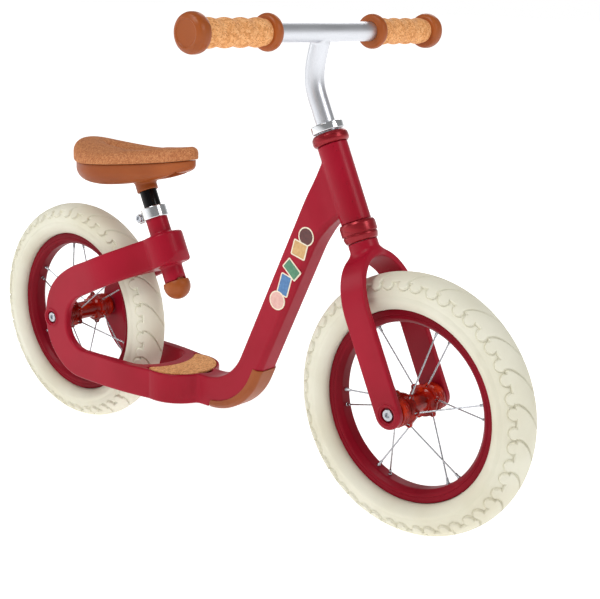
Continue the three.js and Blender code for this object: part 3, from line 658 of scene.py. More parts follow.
def spine_front_side():
    """A wide region whose edge is the front face of the down tube and the underside of its bend."""
    head_x = FRONT_X - HEAD.low * math.sin(HEAD.lean)
    head_z = TYRE.radius + HEAD.low * math.cos(HEAD.lean)
    out = [(SPINE.back, DECK.low)]
    out += arc(BOTTOM_BEND, BEND.outer, -90, BEND.end, 24)
    out.append(bend_point(BOTTOM_BEND, BEND.outer, 192))
    bend = bend_point(BOTTOM_BEND, BEND.outer, 212)
    out += bezier(out[-1], bend, (head_x - 27, head_z - 2), (head_x - 15, head_z + 3), 12)
    out += [(head_x + 30, head_z + 24), (head_x + 30, 560)]
    return out + [(-300, 560), (-300, DECK.low)]


def pad_outline(grow):
    """The crescent of cork on the footboard."""
    outer, inner = PAD.radius + grow, PAD.cut_radius - grow
    apart = DECK.centre - PAD.cut
    horn_x = (apart * apart + inner * inner - outer * outer) / (2 * apart)
    horn_y = math.sqrt(inner * inner - horn_x * horn_x)
    outer_angle = math.atan2(horn_y, horn_x - apart) / DEG
    inner_angle = math.atan2(horn_y, horn_x) / DEG
    out = arc((DECK.centre, 0), outer, outer_angle, -outer_angle, 48)
    return out + arc((PAD.cut, 0), inner, -inner_angle, inner_angle, 32)[1:-1]


REAR_LOOP = rear_loop_outline()
YOKE = tabulated(yoke_outline())
DECK_PLAN = deck_outline()
REAR_SIDE = spine_rear_side()
FRONT_SIDE = spine_front_side()


# ---------------------------------------------------------------- frame
def spine_field(x, y, z, grow=0.0):
    """The down tube and its bend: soft rear edges, and a flat band along each front one."""
    forward, _ = in_steering_frame(x, z)
    narrowing = SPINE.narrowing * smooth((forward + 52) / 30)
    side = np.abs(y) - SPINE.half + narrowing - grow
    rear = outline_distance(x, z, REAR_SIDE) - grow
    front = outline_distance(x, z, FRONT_SIDE) - grow
    return np.maximum(both(side, rear, 2.5 + grow), chamfered(side, front, SPINE.band, 1.2))


def frame_field(x, y, z):
    side = np.abs(y)
    across, along = in_seat_frame(x, z)
    forward, up = in_steering_frame(x, z)
    middle, half = (LOOP.outer + LOOP.inner) / 2, (LOOP.outer - LOOP.inner) / 2
    loops = both(outline_distance(x, z, REAR_LOOP), np.abs(side - middle) - half, 3)
    tongue = np.maximum(side - SPINE.half, slab(x, SPINE.back, -20))
    deck = both(either(outline_distance(x, y, DECK_PLAN), tongue, 6), slab(z, DECK.low, DECK.high), 2.2)
    yoke = both(YOKE(across, y), slab(along, BAND.low, BAND.high), 3.5)
    seat_tube = rod(across, y, along, SEAT.radius, SEAT.low, SEAT.high)
    head_tube = rod(forward, y, up, HEAD.radius, HEAD.low, HEAD.high, 0.8)
    spine = np.maximum(spine_field(x, y, z), forward - 6)
    body = either(either(loops, deck), either(yoke, seat_tube, 5))
    body = either(body, either(np.maximum(spine, SPINE.back - x), head_tube, 1.5))
    body = without(body, np.hypot(across, y) - SEAT.bore - 0.2)
    body = without(body, np.maximum(np.hypot(forward, y) - HEAD.bore, HEAD.low - 20 - up))
    recess = np.maximum(outline_distance(x, y, pad_outline(0.9)), DECK.high - PAD.depth - z)
    body = without(body, recess, 0.5)
    hole = np.hypot(x - REAR_X, z - TYRE.radius) - BOSS.radius + 1.5
    return without(body, hole, 0.4)


def make_frame():
    shape = sculpted(frame_field, (-297, 0, 73), (210, 61, 438), 1.25, symmetric=True)
    add_piece("frame_casting", shape, CRIMSON, "frame", ["frame"], sharp=60)


def make_inlay():
    def field(x, y, z):
        return both(outline_distance(x, y, pad_outline(0)), slab(z, DECK.high - PAD.depth, PAD.high), 0.7)

    shape = sculpted(field, (-100, 0, 112), (-36, 48, 118), 0.6, symmetric=True)
    add_piece("footboard_cork_inlay", shape, CORK, "frame", ["deck_pad"], sharp=60)


def make_bend_guard():
    """A thin brown shoe wrapped over the front face of the bend and part of both sides."""
    outer = BEND.outer + 6
    inner = BEND.outer - GUARD.width
    outline = [(BOTTOM_BEND[0] - 2, BOTTOM_BEND[1] - outer)]
    outline += arc(BOTTOM_BEND, outer, -88, BEND.end, 24)
    outline.append(bend_point(BOTTOM_BEND, outer, GUARD.riser))
    outline.append(bend_point(BOTTOM_BEND, inner, GUARD.riser - 4))
    outline += arc(BOTTOM_BEND, inner, BEND.end, -86, 16)

    def field(x, y, z):
        shell = np.maximum(spine_field(x, y, z, GUARD.proud), -spine_field(x, y, z, 0.1))
        return both(shell, outline_distance(x, z, outline), 0.4)

    shape = sculpted(field, (-24, 0, 73), (88, 20, 150), 0.7, symmetric=True)
    add_piece("bend_guard_shoe", shape, BROWN, "frame", ["bend_guard"], sharp=50)


def make_ball_plug():
    start = SEAT.low - 0.3
    first = math.acos((start - BALL.centre) / BALL.radius)
    angles = np.linspace(first, math.pi, 24)
    ball = [(BALL.radius * math.sin(a), BALL.centre + BALL.radius * math.cos(a)) for a in angles]
    shank = SEAT.bore - 0.4
    top = SEAT.low + 5
    profile = [(0, top), (shank, top), (shank, start)] + ball[:-1] + [(0, ball[-1][1])]
    add_piece("seat_tube_ball_plug", lathe(profile), BROWN, "frame", ["seat_tube_plug"], SEAT_PLACE, 40)


def axle_boss(outer):
    """Raised rings round an axle bolt, and the cup that its head sinks into."""
    floor, top = outer - BOSS.depth, outer + BOSS.height
    base = floor - 3
    r, cup, hole = BOSS.radius, BOSS.recess, BOSS.hole
    profile = [
        (hole, base), (r - 1, base), (r - 1, outer - 0.6), (r, outer - 0.6), (r, top - 0.9),
        (r - 1.3, top - 0.9), (r - 1.6, top), (cup + 2.2, top), (cup + 1.8, top - 1.1), (cup + 0.6, top - 1.3),
        (cup, top - 2), (cup, floor), (hole, floor), (hole, base),
    ]
    return lathe(softened(profile, 0.35), 72, "Y")


def hex_bolt(outer):
    """A round-headed bolt with a hexagonal socket."""
    low = outer - BOSS.depth + 0.3
    top = low + BOLT.height

    def field(x, y, z):
        body = either(
            rod(x, z, y, BOLT.head, low, top, 0.8), rod(x, z, y, BOLT.shank, low - BOLT.length, low + 1, 0.3)
        )
        flats = [np.abs(x * math.cos(a * DEG) + z * math.sin(a * DEG)) for a in (0, 60, 120)]
        socket = np.maximum.reduce(np.broadcast_arrays(*flats)) - BOLT.socket
        return without(body, np.maximum(socket, top - 2.6 - y), 0.3)

    reach = BOLT.head + 1
    return sculpted(field, (-reach, low - BOLT.length - 1, -reach), (reach, top + 1, reach), 0.4)


def axle_shaft(inside):
    end = inside - 0.3
    shoulder = HUB.half_length + 0.3
    half = [(0, end), (AXLE.collar, end), (AXLE.collar, shoulder), (AXLE.radius, shoulder)]
    return lathe(softened(mirrored(half), 0.5), 48, "Y")


def make_axle(name, body, inside, outer):
    place = AXLE_PLACE[name]
    boss, bolt = axle_boss(outer), hex_bolt(outer)
    bosses = merged(boss, flipped(boss))
    add_piece(f"{name}_axle_bosses", bosses, CRIMSON, body, place=place)
    add_piece(f"{name}_axle_shaft", axle_shaft(inside), STEEL, body, [f"{name}_axle"], place)
    add_piece(f"{name}_bolt_left", bolt, STEEL, body, [f"{name}_axle_bolt_left"], place, 40)
    add_piece(f"{name}_bolt_right", flipped(bolt), STEEL, body, [f"{name}_axle_bolt_right"], place, 40)


def make_seat_collar():
    middle = (COLLAR.low + COLLAR.high) / 2
    bolt_x = -COLLAR.radius - COLLAR.ear / 2

    def field(x, y, z):
        band = rod(x, y, z, COLLAR.radius, COLLAR.low, COLLAR.high, 1)
        lug = both(slab(x, bolt_x - COLLAR.ear / 2, -10), np.abs(y) - COLLAR.ear_half, 1.5)
        lug = both(lug, slab(z, COLLAR.low + 1, COLLAR.high - 1), 1.5)
        body = without(either(band, lug, 3), np.hypot(x, y) - COLLAR.bore, 0.5)
        body = without(body, np.maximum(np.abs(y) - COLLAR.slot / 2, x + 9), 0.4)
        return without(body, np.hypot(x - bolt_x, z - middle) - COLLAR.hole, 0.4)

    low, high = (bolt_x - 9, 0, COLLAR.low - 1), (COLLAR.radius + 1, COLLAR.radius + 1, COLLAR.high + 1)
    shape = sculpted(field, low, high, 0.5, symmetric=True)
    add_piece("seat_collar", shape, CHROME, "frame", ["seat_clamp"], SEAT_PLACE, 50)

    r, head = COLLAR.bolt, -COLLAR.ear_half - 0.3
    hexagon = [(r, head), (5.6, head), (5.6, head - 4.2), (3.2, head - 4.2), (3, head - 2), (r, head - 2)]
    hexagon.append(hexagon[0])
    shank = [(0, head - 2.2), (r, head - 2.2), (r, 8.5), (0, 8.5)]
    nut = [(r, 5.8), (4.2, 5.8), (4.2, 8), (r, 8), (r, 5.8)]
    parts = [(hexagon, 0.5, 6), (shank, 0.3, 36), (nut, 0.4, 6)]
    bolt = merged(*[lathe(softened(profile, edge), sides, "Y") for profile, edge, sides in parts])
    place = SEAT_PLACE @ Matrix.Translation((bolt_x, 0, middle))
    add_piece("seat_collar_bolt", bolt, STEEL, "frame", ["seat_clamp_bolt"], place)


def make_headset():
    """The cups at both ends of the head tube, each with a spigot that sits in it."""
    bore, spigot, low, lip, wide = CUP.bore, CUP.spigot, CUP.low, CUP.lip, CUP.low_radius
    lower = [
        (bore, low), (17.4, low), (18.6, low + 1.2), (wide - 0.8, low + 5.6), (wide - 0.8, low + 7.4),
        (wide - 1.5, low + 7.8), (wide - 1.5, low + 8.8), (wide, low + 9.2), (wide, lip - 3),
        (wide - 1.4, lip), (spigot, lip), (spigot, lip + 9), (bore, lip + 9), (bore, low),
    ]
    shape = lathe(softened(lower, 0.5), 96)
    add_piece("headset_cup_lower", shape, ANODISED, "frame", ["lower_headset_cup"], STEERING_PLACE)
    wide, seat, top = CUP.high_radius, CUP.seat, CUP.top
    upper = [
        (bore, seat - 9), (spigot, seat - 9), (spigot, seat), (wide - 2.4, seat), (wide - 0.6, seat + 2),
        (wide, seat + 4), (wide - 0.3, top - 3.4), (wide - 2.2, top - 0.6), (wide - 3.6, top), (bore, top),
        (bore, seat - 9),
    ]
    shape = lathe(softened(upper, 0.8), 96)
    add_piece("headset_cup_upper", shape, ANODISED, "frame", ["upper_headset_cup"], STEERING_PLACE)


# ---------------------------------------------------------------- travel patches
def flat_patch(outline, low, high):
    """A thin plate on the down tube's right side, from an outline in side view."""
    count = len(outline)
    points = [(x, -SPINE.half - h, z) for h in (low, high) for x, z in outline]
    faces = [list(range(count)), list(range(2 * count - 1, count - 1, -1))]
    faces += [[i, (i + 1) % count, count + (i + 1) % count, count + i] for i in range(count)]
    return points, faces


def rounded_box(centre, half_width, half_height, corner, turn):
    """A rectangle with round corners, turned by an angle."""
    out = []
    for start, (sx, sz) in zip((0, 90, 180, 270), ((1, 1), (-1, 1), (-1, -1), (1, -1))):
        corner_at = sx * (half_width - corner), sz * (half_height - corner)
        out += arc(corner_at, corner, start, start + 90, 5)
    c, s = math.cos(turn * DEG), math.sin(turn * DEG)
    return [(centre[0] + u * c - v * s, centre[1] + u * s + v * c) for u, v in out]


def make_patches():
    """Plain coloured travel stickers, with no picture or lettering on them."""
    cream = printed("patch_cream", "frame_paint", "e9dcc0", "f0e6cf")
    inks = {
        "maroon": printed("patch_maroon", "frame_paint", "4a1716", "5c1f1c"),
        "sand": printed("patch_sand", "frame_paint", "c79a5e", "d4ab70"),
        "green": printed("patch_green", "frame_paint", "3f7a5a", "4d8a67"),
        "blue": printed("patch_blue", "frame_paint", "3c6ea3", "4b80b4"),
        "rose": printed("patch_rose", "frame_paint", "d9a59a", "e2b4a9"),
    }
    spots = [
        ("maroon", (131.4, 319.8), 11.3, 11.3, 11.2, 0, 0),
        ("sand", (122.2, 303.2), 10.8, 9.9, 2, -15, 0.25),
        ("green", (111.8, 278), 12.4, 8, 1.6, -41, 0.25),
        ("blue", (101, 257.5), 8.6, 13.6, 2.5, -16, 0),
        ("rose", (90.8, 237), 11.8, 11.8, 11.7, 0, 0.25),
    ]
    for ink, centre, half_width, half_height, corner, turn, lift in spots:
        border = rounded_box(centre, half_width, half_height, corner, turn)
        inner_corner = max(corner - PATCH_BORDER, 0.6)
        field = rounded_box(
            centre, half_width - PATCH_BORDER, half_height - PATCH_BORDER, inner_corner, turn
        )
        add_piece(f"patch_border_{ink}", flat_patch(border, -0.3, 0.18 + lift), cream, "frame")
        add_piece(f"patch_{ink}", flat_patch(field, 0, 0.3 + lift), inks[ink], "frame")


# ---------------------------------------------------------------- fork
def fork_arch(half_width, top):
    """Front view of one side of the fork's U, as points of (up, across)."""
    rise = top - FORK.shoulder
    return [
        (FORK.shoulder + rise * math.cos(a * DEG), half_width * math.sin(a * DEG)) for a in range(0, 91, 3)
    ] + [(-24, half_width)]


def fork_side_outline():
    """Side view, as points of (forward, up): straight blades with a round foot."""
    half = FORK.half_depth
    return arc((0, 0), half, 180, 360, 32) + [(half, FORK.crown + 2), (-half, FORK.crown + 2)]


FORK_OUTSIDE = mirrored(fork_arch(FORK.outer, FORK.crown))
FORK_INSIDE = mirrored(fork_arch(FORK.inner, FORK.arch))
FORK_SIDE = fork_side_outline()


def fork_field(x, y, z):
    """The fork in the steering frame: an even band bent into a U, with the neck rising from its top."""
    band = both(outline_distance(z, y, FORK_OUTSIDE), outline_distance(x, z, FORK_SIDE), 1.6)
    neck = rod(x, y, z, FORK.neck, FORK.arch + 2, FORK.top, 1)
    body = either(band, neck, 7)
    body = without(body, outline_distance(z, y, FORK_INSIDE), 1.2)
    return without(body, np.hypot(x, z) - BOSS.radius + 1.5, 0.4)


def make_fork():
    shape = sculpted(fork_field, (-25, 0, -19), (25, 54, 193), 0.9, symmetric=True)
    add_piece("fork_casting", shape, CRIMSON, "fork", ["fork"], STEERING_PLACE, 60)
    r, low, high = STEERER.radius, FORK.top - 4, STEERER.top
    tube = [(STEERER.bore, low), (r, low), (r, high), (STEERER.bore, high), (STEERER.bore, low)]
    add_piece("steerer_tube", lathe(softened(tube, 0.4), 72), STEEL, "fork", place=STEERING_PLACE)


def make_stem_clamp():
    """The ring that holds the stem, and the grub screw in its back."""
    bore, low, high, r = CLAMP.bore, CLAMP.low, CLAMP.high, CLAMP.radius
    ring = [(bore, low), (r - 0.7, low), (r, low + 0.7), (r, high - 0.9), (r - 0.9, high), (bore, high)]
    ring.append(ring[0])
    add_piece("stem_clamp_ring", lathe(softened(ring, 0.4)), CHROME, "fork", ["stem_clamp"], STEERING_PLACE)
    middle = (low + high) / 2
    profile = [(0, 13.3), (2.4, 13.3), (2.4, r + 0.5), (1.3, r + 0.5), (1.3, r - 1.3), (0, r - 1.3)]
    screw = lathe(softened(profile, 0.3), 24)
    lying = STEERING_PLACE @ Matrix.Translation((0, 0, middle)) @ Matrix.Rotation(-90 * DEG, 4, "Y")
    add_piece("stem_clamp_grub_screw", screw, STEEL, "fork", ["stem_clamp_screw"], lying)


# ---------------------------------------------------------------- handlebar
def stem_path():
    start = (0, BAR.bend)
    end = (BAR.forward, BAR.height)
    curve = bezier(start, (0, BAR.bend + 26), (BAR.forward - 22, BAR.height - 26), end, 24)
    short_of_the_bar = 3
    return [(0, BAR.low + BAR.radius), start] + curve[:-short_of_the_bar]


def handlebar_field(x, y, z):
    """The bent stem welded to the crossbar, in the steering frame."""
    stem = np.hypot(path_distance(x, z, stem_path()), y) - BAR.radius
    bar = both(np.hypot(x - BAR.forward, z - BAR.height) - BAR.radius, np.abs(y) - BAR.half_length, 1)
    return np.maximum(either(stem, bar, 3), BAR.low - z)


def make_handlebar():
    low, high = (-13, 0, BAR.low - 2), (BAR.forward + 13, BAR.half_length + 2, BAR.height + 13)
    shape = sculpted(handlebar_field, low, high, 1.1, symmetric=True)
    add_piece("handlebar_tube", shape, ALUMINIUM, "handlebar", ["handlebar"], STEERING_PLACE, 50)


def grip_core_profile():
    """The inner flange and the mushroom cap, with the sleeve under the cork between them."""
    bore, start, end = BAR.radius + 0.2, GRIP.inner, GRIP.outer
    r, wide, under = GRIP.flange, GRIP.cap, SLEEVE.end + 0.3
    flange = [
        (bore, start), (r - 5, start), (r - 1.2, start + 1.2), (r, start + 4.5), (r, start + 8),
        (r - 1.4, start + 11), (r - 3.4, start + 12.2), (GRIP.core, start + 12.2),
    ]
    cap = [
        (GRIP.core, under), (wide - 3.6, under), (wide - 1, under + 2.2), (wide, under + 6.3),
        (wide, end - 6.5), (wide - 1.6, end - 2.2), (wide - 5.4, end), (14, end), (13.2, end - 0.9),
        (0, end - 0.9),
    ]
    return softened(flange + cap, 1.6, 5)


def grip_cork_profile():
    """A sleeve with soft bulges between shallow grooves."""
    start, end = SLEEVE.start, SLEEVE.end
    steps = 96
    skin = []
    for i in range(steps + 1):
        t = i / steps
        swell = -math.cos(2 * math.pi * SLEEVE.ridges * t)
        skin.append((SLEEVE.radius - 0.7 + 0.8 * swell, start + (end - start) * t))
    inner = GRIP.core + 0.15
    return [(inner, start)] + skin + [(inner, end), (inner, start)]


def make_grips():
    core = lathe(grip_core_profile(), 96, "Y")
    sleeve = lathe(grip_cork_profile(), 120, "Y")
    for side, turn in (("left", lambda s: s), ("right", flipped)):
        add_piece(f"grip_{side}", turn(core), BROWN, "handlebar", [f"grip_core_{side}"], BAR_PLACE)
        add_piece(
            f"grip_sleeve_{side}", turn(sleeve), CORK, "handlebar", [f"grip_cork_{side}"], BAR_PLACE, 60
        )


# ---------------------------------------------------------------- saddle
def saddle_outline(inset):
    """Plan of the saddle: wide and round at the back, narrow and blunt at the nose."""
    middle = (SADDLE.rear + SADDLE.nose) / 2
    half = (SADDLE.nose - SADDLE.rear) / 2 - inset
    out = []
    for angle in np.linspace(0, 360, 120, endpoint=False) * DEG:
        c, s = math.cos(angle), math.sin(angle)
        x = middle + half * math.copysign(abs(c) ** SADDLE.power, c)
        out.append((x, (saddle_half_width(x) - inset) * math.copysign(abs(s) ** SADDLE.power, s)))
    return out


def station(x):
    """From 0 at the back of the saddle to 1 at its nose."""
    return np.clip((x - SADDLE.rear) / (SADDLE.nose - SADDLE.rear), 0, 1)


def saddle_half_width(x):
    return SADDLE.half + (SADDLE.nose_half - SADDLE.half) * smooth((station(x) - 0.2) / 0.62)


def pad_edge(x):
    """The height of the line between the pad and the shell."""
    t = station(x)
    return SADDLE.edge + 19 * t**2 + 6 * np.maximum(0, 1 - t / 0.25) ** 2


def pad_top(x, y):
    """High at the back, with a creased channel along the middle, and rising again to the nose."""
    t = station(x)
    length = smooth((t - 0.16) / 0.12) * smooth((0.74 - t) / 0.3)
    width = 9 + 7 * smooth((t - 0.2) / 0.4)
    channel = 11 * length * np.exp(-np.abs(y / width) ** 1.8)
    crown = (2 * y) ** 2 / 900
    return SADDLE.top - 3 * np.sin(np.pi * t) + 7 * t**4 - crown - channel


def shell_bottom(x):
    """The underside of the shell, rising towards the nose."""
    rise = np.clip((x + 200) / 144, 0, 1.1)
    return SADDLE.low + 36 * rise**1.7


PAD_PLAN = saddle_outline(0)
SHELL_PLAN = saddle_outline(3.5)


def saddle_pad_field(x, y, z):
    plan = outline_distance(x, y, PAD_PLAN)
    skin = both(plan, z - pad_top(x, y), 9)
    return both(skin, pad_edge(x) - 1 - z, 1.6)


def saddle_shell_field(x, y, z):
    across, along = in_seat_frame(x, z)
    plan = outline_distance(x, y, SHELL_PLAN)
    bowl = both(plan, shell_bottom(x) - z, 17 - 12 * smooth((station(x) - 0.45) / 0.4))
    bowl = np.maximum(bowl, z - pad_edge(x) + 1.6)
    hollow = np.maximum(np.abs(y) - 13, slab(x, -122, -84))
    bowl = without(bowl, np.maximum(hollow, z - shell_bottom(x) - 6), 1.5)
    collar = rod(across, y, along, SOCKET.radius, SOCKET.low, SOCKET.high, 1)
    body = either(bowl, collar, 4)
    hole = np.maximum(np.hypot(across, y) - POST.radius - 0.3, along - POST.high - 0.3)
    return without(body, hole, 0.5)


def make_saddle():
    low, high = (SADDLE.rear - 4, 0, 362), (SADDLE.nose + 4, SADDLE.half + 4, 406)
    shape = sculpted(saddle_pad_field, low, high, 1.0, symmetric=True)
    pad = add_piece("saddle_cushion", shape, FOAM, "seat", ["saddle_pad"], sharp=70)
    low = (SADDLE.rear - 4, 0, 322)
    shape = sculpted(saddle_shell_field, low, high, 1.0, symmetric=True)
    add_piece("saddle_base", shape, BROWN, "seat", ["saddle_shell"], sharp=60)
    r, start, end = POST.radius, POST.low, POST.high
    tube = [(r - 2, start), (r, start), (r, end), (r - 2, end), (r - 2, start)]
    add_piece("seat_post_tube", lathe(softened(tube, 0.5), 72), ENAMEL, "seat", ["seat_post"], SEAT_PLACE)


# ---------------------------------------------------------------- wheels
def tyre_section(steps):
    """Half of the tyre's section from the crown to the rim, as points and as distance along the skin."""
    height, depth, bulge = TYRE.radius - TYRE.core, TYRE.core - TYRE.bead, TYRE.half_width - TYRE.bead_half
    crown = [
        (TYRE.core + height * math.cos(a), TYRE.half_width * math.sin(a))
        for a in np.linspace(0, math.pi / 2, steps)
    ]
    wall = [
        (TYRE.core - depth * math.sin(a), TYRE.bead_half + bulge * math.cos(a))
        for a in np.linspace(0, math.pi / 2, 16)
    ]
    points = np.array(crown + wall[1:] + [(TYRE.bead, TYRE.bead_inner)])
    lengths = np.concatenate([[0], np.cumsum(np.hypot(*np.diff(points, axis=0).T))])
    return points, lengths


def tread_relief(u, v):
    """Height of the tread over the sidewall: a band with round lobes along both edges, a crease round
    it and S grooves across it. u runs round the tyre in lobes, and v across it from the crown.
    """
    side = np.abs(v)
    turn = np.where(v > 0, u, u + 0.5)
    number = np.round(turn)
    off = (turn - number) * TREAD.pitch - TREAD.pairing * np.cos(math.pi * number)
    inside = np.maximum(TREAD.edge - side, TREAD.lobe - np.hypot(off, side - TREAD.lobe_at))
    plateau = smooth(inside / TREAD.wall + 0.5)
    crease = np.exp(-(((inside + TREAD.wall) / TREAD.wall) ** 2))
    across = smooth((TREAD.edge + v) / (2 * TREAD.edge))
    line = (u - GROOVE.phase) / 2 + across
    groove_off = np.abs(line - np.round(line)) * 2 * TREAD.pitch
    groove = smooth((GROOVE.half - groove_off) / GROOVE.wall) * (side < TREAD.edge + 1)
    return plateau * (TREAD.height - GROOVE.depth * groove) - GROOVE.crease * crease


def tyre_shape():
    """Both tyres are built from this shape, each as a mesh of its own. The tread is cut into a fine grid that
    follows the skin.
    """
    around = 1440
    points, lengths = tyre_section(76)
    radii = np.concatenate([points[::-1, 0], points[1:, 0]])
    sideways = np.concatenate([-points[::-1, 1], points[1:, 1]])
    skin = np.concatenate([-lengths[::-1], lengths[1:]])
    tangent = np.stack([np.gradient(radii), np.gradient(sideways)])
    normal = np.stack([tangent[1], -tangent[0]]) / np.hypot(*tangent)
    angle = np.arange(around) * 2 * math.pi / around
    u = (np.arange(around) * TREAD.lobes / around)[:, None]
    relief = tread_relief(u, skin[None, :]) - TREAD.height
    relief *= smooth((TREAD.end - np.abs(skin)) / 6)[None, :]
    radius = radii + normal[0] * relief
    y = sideways + normal[1] * relief
    x, z = radius * np.cos(angle)[:, None], radius * np.sin(angle)[:, None]
    grid = np.stack([x, y, z], -1).reshape(-1, 3)
    rows = len(radii)
    index = np.arange(around * rows).reshape(around, rows)
    beyond = np.roll(index, -1, 0)
    quads = np.stack([index[:, :-1], beyond[:, :-1], beyond[:, 1:], index[:, 1:]], -1).reshape(-1, 4)
    closing = np.stack([index[:, -1], beyond[:, -1], beyond[:, 0], index[:, 0]], -1)
    return grid, np.concatenate([quads, closing])


def rim_shape():
    """A hoop with a crest for the nipples, a groove round each side wall and a seat for the tyre."""
    r, inner, edge, half = RIM.radius, RIM.inner, RIM.edge, RIM.half_width
    side = [
        (inner, RIM.crest), (inner + 0.4, RIM.crest + 1.5), (edge, half - 0.8), (edge + 1.2, half),
        (edge + 3.4, half), (edge + 3.8, half - 0.5), (edge + 4.6, half - 0.5), (edge + 5, half),
        (r - 1, half), (r, half - 1), (r, half - 2.3), (RIM.seat, half - 2.3),
    ]
    profile = mirrored([(q, -y) for q, y in side])
    profile.append(profile[0])
    return lathe(softened(profile, 0.6), 192, "Y")


def pair_angle(first, pair):
    return first + pair * 360 / SPOKE.pairs


def hub_shape(first):
    """A spool with two lobed flanges, a ribbed barrel and a bearing pocket in each end."""
    ends = {1: [], -1: []}
    for side, angles in ends.items():
        angles += [(pair_angle(first, i) + side * SPOKE.hub_spread) * DEG for i in range(SPOKE.pairs)]

    def field(x, y, z):
        out = np.hypot(x, z)
        side = np.abs(y)
        waist = HUB.barrel + (HUB.end - HUB.barrel) * smooth((side - HUB.flange_y + 7) / 7)
        neck = 1.6 * smooth((3.5 - np.abs(side - HUB.neck_y)) / 2.5)
        rings = sum(0.7 * smooth((1 - np.abs(side - at)) / 0.9) for at in HUB_RINGS)
        body = both(out - waist + neck - rings, side - HUB.half_length, 1)
        for sign, angles in ends.items():
            disc = out - HUB.flange
            spots = [np.hypot(x - HUB.flange * math.cos(a), z - HUB.flange * math.sin(a)) for a in angles]
            for spot in spots:
                disc = either(disc, spot - HUB.lobe, 2)
            for spot in spots:
                disc = without(disc, spot - SPOKE.hole, 0.3)
            body = either(body, both(disc, np.abs(y - sign * HUB.flange_y) - 2, 0.8), 1.2)
        pocket = np.maximum(out - BEARING.outer - 0.2, HUB.half_length - BEARING.width - 0.2 - side)
        return without(without(body, out - HUB.bore, 0.3), pocket, 0.3)

    reach = HUB.flange + HUB.lobe + 1
    return sculpted(field, (-reach, -HUB.half_length - 1, -reach), (reach, HUB.half_length + 1, reach), 0.6)


def spoke_shape(first, pair, side):
    """One spoke with its nipple. The two spokes of a pair start on different flanges and cross."""
    hub_angle = (pair_angle(first, pair) + side * SPOKE.hub_spread) * DEG
    rim_angle = (pair_angle(first, pair) - side * SPOKE.rim_spread) * DEG
    start = Vector((HUB.flange * math.cos(hub_angle), side * HUB.flange_y, HUB.flange * math.sin(hub_angle)))
    reach = RIM.inner + 0.6
    end = Vector((reach * math.cos(rim_angle), 0, reach * math.sin(rim_angle)))
    length = (end - start).length
    nipple = length - SPOKE.nipple_length
    r, n = SPOKE.radius, SPOKE.nipple
    wire = [(0, -2.4), (1.7, -2.4), (1.7, -1.6), (r, -0.8), (r, nipple + 1), (0, nipple + 1)]
    barrel = [
        (0, nipple), (1.3, nipple), (n, nipple + 1), (n, length - 3), (n + 0.5, length - 2.4),
        (n + 0.5, length), (0, length),
    ]
    turn = Vector((0, 0, 1)).rotation_difference(end - start).to_matrix().to_4x4()
    place = Matrix.Translation(start) @ turn
    return moved(lathe(softened(wire, 0.3), 16), place), moved(lathe(softened(barrel, 0.3), 16), place)


def bearing_shape():
    """Outer race, shield with a shallow groove, and inner race."""
    low, high = HUB.half_length - BEARING.width, HUB.half_length
    r, q = BEARING.outer, BEARING.inner
    profile = [
        (q, low), (r, low), (r, high), (r - 1.6, high), (r - 1.8, high - 0.7), (q + 2.1, high - 0.7),
        (q + 1.9, high), (q, high), (q, low),
    ]
    return lathe(softened(profile, 0.25), 64, "Y")


def make_wheel(name):
    body, place, first = f"{name}_wheel", AXLE_PLACE[name], FIRST_PAIR[name]
    add_piece(f"{name}_tyre_tread", tyre_shape(), IVORY, body, [f"{name}_tyre"], place, 75)
    add_piece(f"{name}_rim_hoop", rim_shape(), RIM_PAINT, body, [f"{name}_rim"], place)
    add_piece(f"{name}_hub_spool", hub_shape(first), CLEAR_RED, body, [f"{name}_hub"], place, 50)
    bearing = bearing_shape()
    add_piece(f"{name}_bearing_ring_left", bearing, STEEL, body, [f"{name}_bearing_left"], place)
    add_piece(f"{name}_bearing_ring_right", flipped(bearing), STEEL, body, [f"{name}_bearing_right"], place)
    for side, sign in (("left", 1), ("right", -1)):
        parts = [spoke_shape(first, pair, sign) for pair in range(SPOKE.pairs)]
        nodes = [f"{name}_spoke_{side}_{pair + 1}" for pair in range(SPOKE.pairs)]
        shape = merged(*[part for pair in parts for part in pair])
        add_piece(f"{name}_spokes_{side}", shape, STEEL, body, nodes, place)


# ---------------------------------------------------------------- stage, light and camera
def make_floor():
    """A pale sweep that glows more with distance, so that it stays near white to its far end."""
    material = bpy.data.materials.new("pale_floor")
    material.use_nodes = True
    nodes, links = material.node_tree.nodes, material.node_tree.links
    shader = nodes["Principled BSDF"]
    shader.inputs["Base Color"].default_value = (0.8, 0.8, 0.8, 1)
    shader.inputs["Roughness"].default_value = 1
    shader.inputs["Specular IOR Level"].default_value = 0
    shader.inputs["Emission Color"].default_value = (1, 1, 1, 1)
    distance = nodes.new("ShaderNodeVectorMath")
    distance.operation = "LENGTH"
    links.new(nodes.new("ShaderNodeTexCoord").outputs["Object"], distance.inputs[0])
    glow = between(nodes, links, distance.outputs["Value"], (0.5, 2, 0.66, 0.9))
    links.new(glow, shader.inputs["Emission Strength"])
    bpy.ops.mesh.primitive_plane_add(size=60, location=(0, 0, -0.0005))
    floor = bpy.context.object
    floor.name = "floor"
    floor.data.materials.append(material)


def between(nodes, links, value, limits):
    """A value mapped from one range to another. The limits are the two ends of both ranges."""
    mapping = nodes.new("ShaderNodeMapRange")
    for name, limit in zip(("From Min", "From Max", "To Min", "To Max"), limits):
        mapping.inputs[name].default_value = limit
    links.new(value, mapping.inputs["Value"])
    return mapping.outputs["Result"]


def add_area_light(name, position, target, size, power):
    data = bpy.data.lights.new(name, "AREA")
    data.shape = "DISK"
    data.size = size
    data.energy = power
    lamp = bpy.data.objects.new(name, data)
    lamp.location = position
    lamp.rotation_euler = (Vector(target) - Vector(position)).to_track_quat("-Z", "Y").to_euler()
    bpy.context.scene.collection.objects.link(lamp)


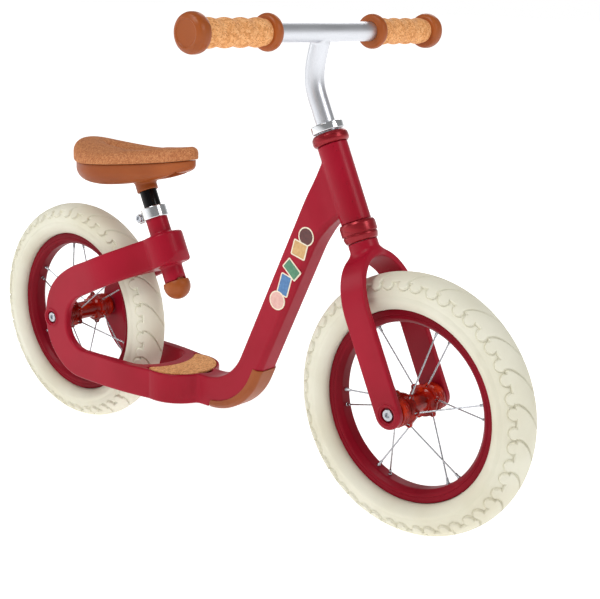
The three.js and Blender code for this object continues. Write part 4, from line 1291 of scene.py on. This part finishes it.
def make_lights():
    """A world that is white at the horizon and dimmer above, with four soft lamps."""
    world = bpy.data.worlds.new("studio")
    world.use_nodes = True
    nodes, links = world.node_tree.nodes, world.node_tree.links
    nodes["Background"].inputs["Color"].default_value = (1, 1, 1, 1)
    height = nodes.new("ShaderNodeSeparateXYZ")
    links.new(nodes.new("ShaderNodeTexCoord").outputs["Generated"], height.inputs[0])
    fade = between(nodes, links, height.outputs["Z"], (0.02, 0.25, 1, 0.28))
    links.new(fade, nodes["Background"].inputs["Strength"])
    bpy.context.scene.world = world
    centre = (0, 0, 0.25)
    add_area_light("key", (-0.1, -1.5, 2.2), centre, 1.2, 26)
    add_area_light("fill_left", (-2.0, -1.0, 1.1), centre, 1.0, 6)
    add_area_light("fill_front", (2.3, 0.3, 1.7), centre, 1.0, 15)
    add_area_light("rim_back", (-0.8, 1.9, 1.5), centre, 1.2, 10)


def make_camera():
    """Seen from the right front, a little above, with the front wheel towards the viewer."""
    right = Vector((math.cos(CAMERA.azimuth), math.sin(CAMERA.azimuth), 0))
    level_back = Vector((math.sin(CAMERA.azimuth), -math.cos(CAMERA.azimuth), 0))
    back = level_back * math.cos(CAMERA.elevation) + Vector((0, 0, math.sin(CAMERA.elevation)))
    up = back.cross(right)
    turned_right = right * math.cos(CAMERA.roll) + up * math.sin(CAMERA.roll)
    turned_up = up * math.cos(CAMERA.roll) - right * math.sin(CAMERA.roll)
    data = bpy.data.cameras.new("camera")
    data.lens = 71.35
    data.sensor_width = 36
    camera = bpy.data.objects.new("camera", data)
    turn = Matrix((turned_right, turned_up, back)).transposed().to_4x4()
    camera.matrix_world = Matrix.Translation(CAMERA.place) @ turn
    bpy.context.scene.collection.objects.link(camera)
    bpy.context.scene.camera = camera


# ---------------------------------------------------------------- the bike
make_camera()
make_lights()
make_floor()
make_frame()
make_inlay()
make_bend_guard()
make_ball_plug()
make_seat_collar()
make_headset()
make_patches()
make_axle("rear", "frame", LOOP.inner, LOOP.outer)
make_fork()
make_stem_clamp()
make_axle("front", "fork", FORK.inner, FORK.outer)
make_handlebar()
make_grips()
make_saddle()
make_wheel("rear")
make_wheel("front")
bpy.context.scene.view_settings.view_transform = "Standard"
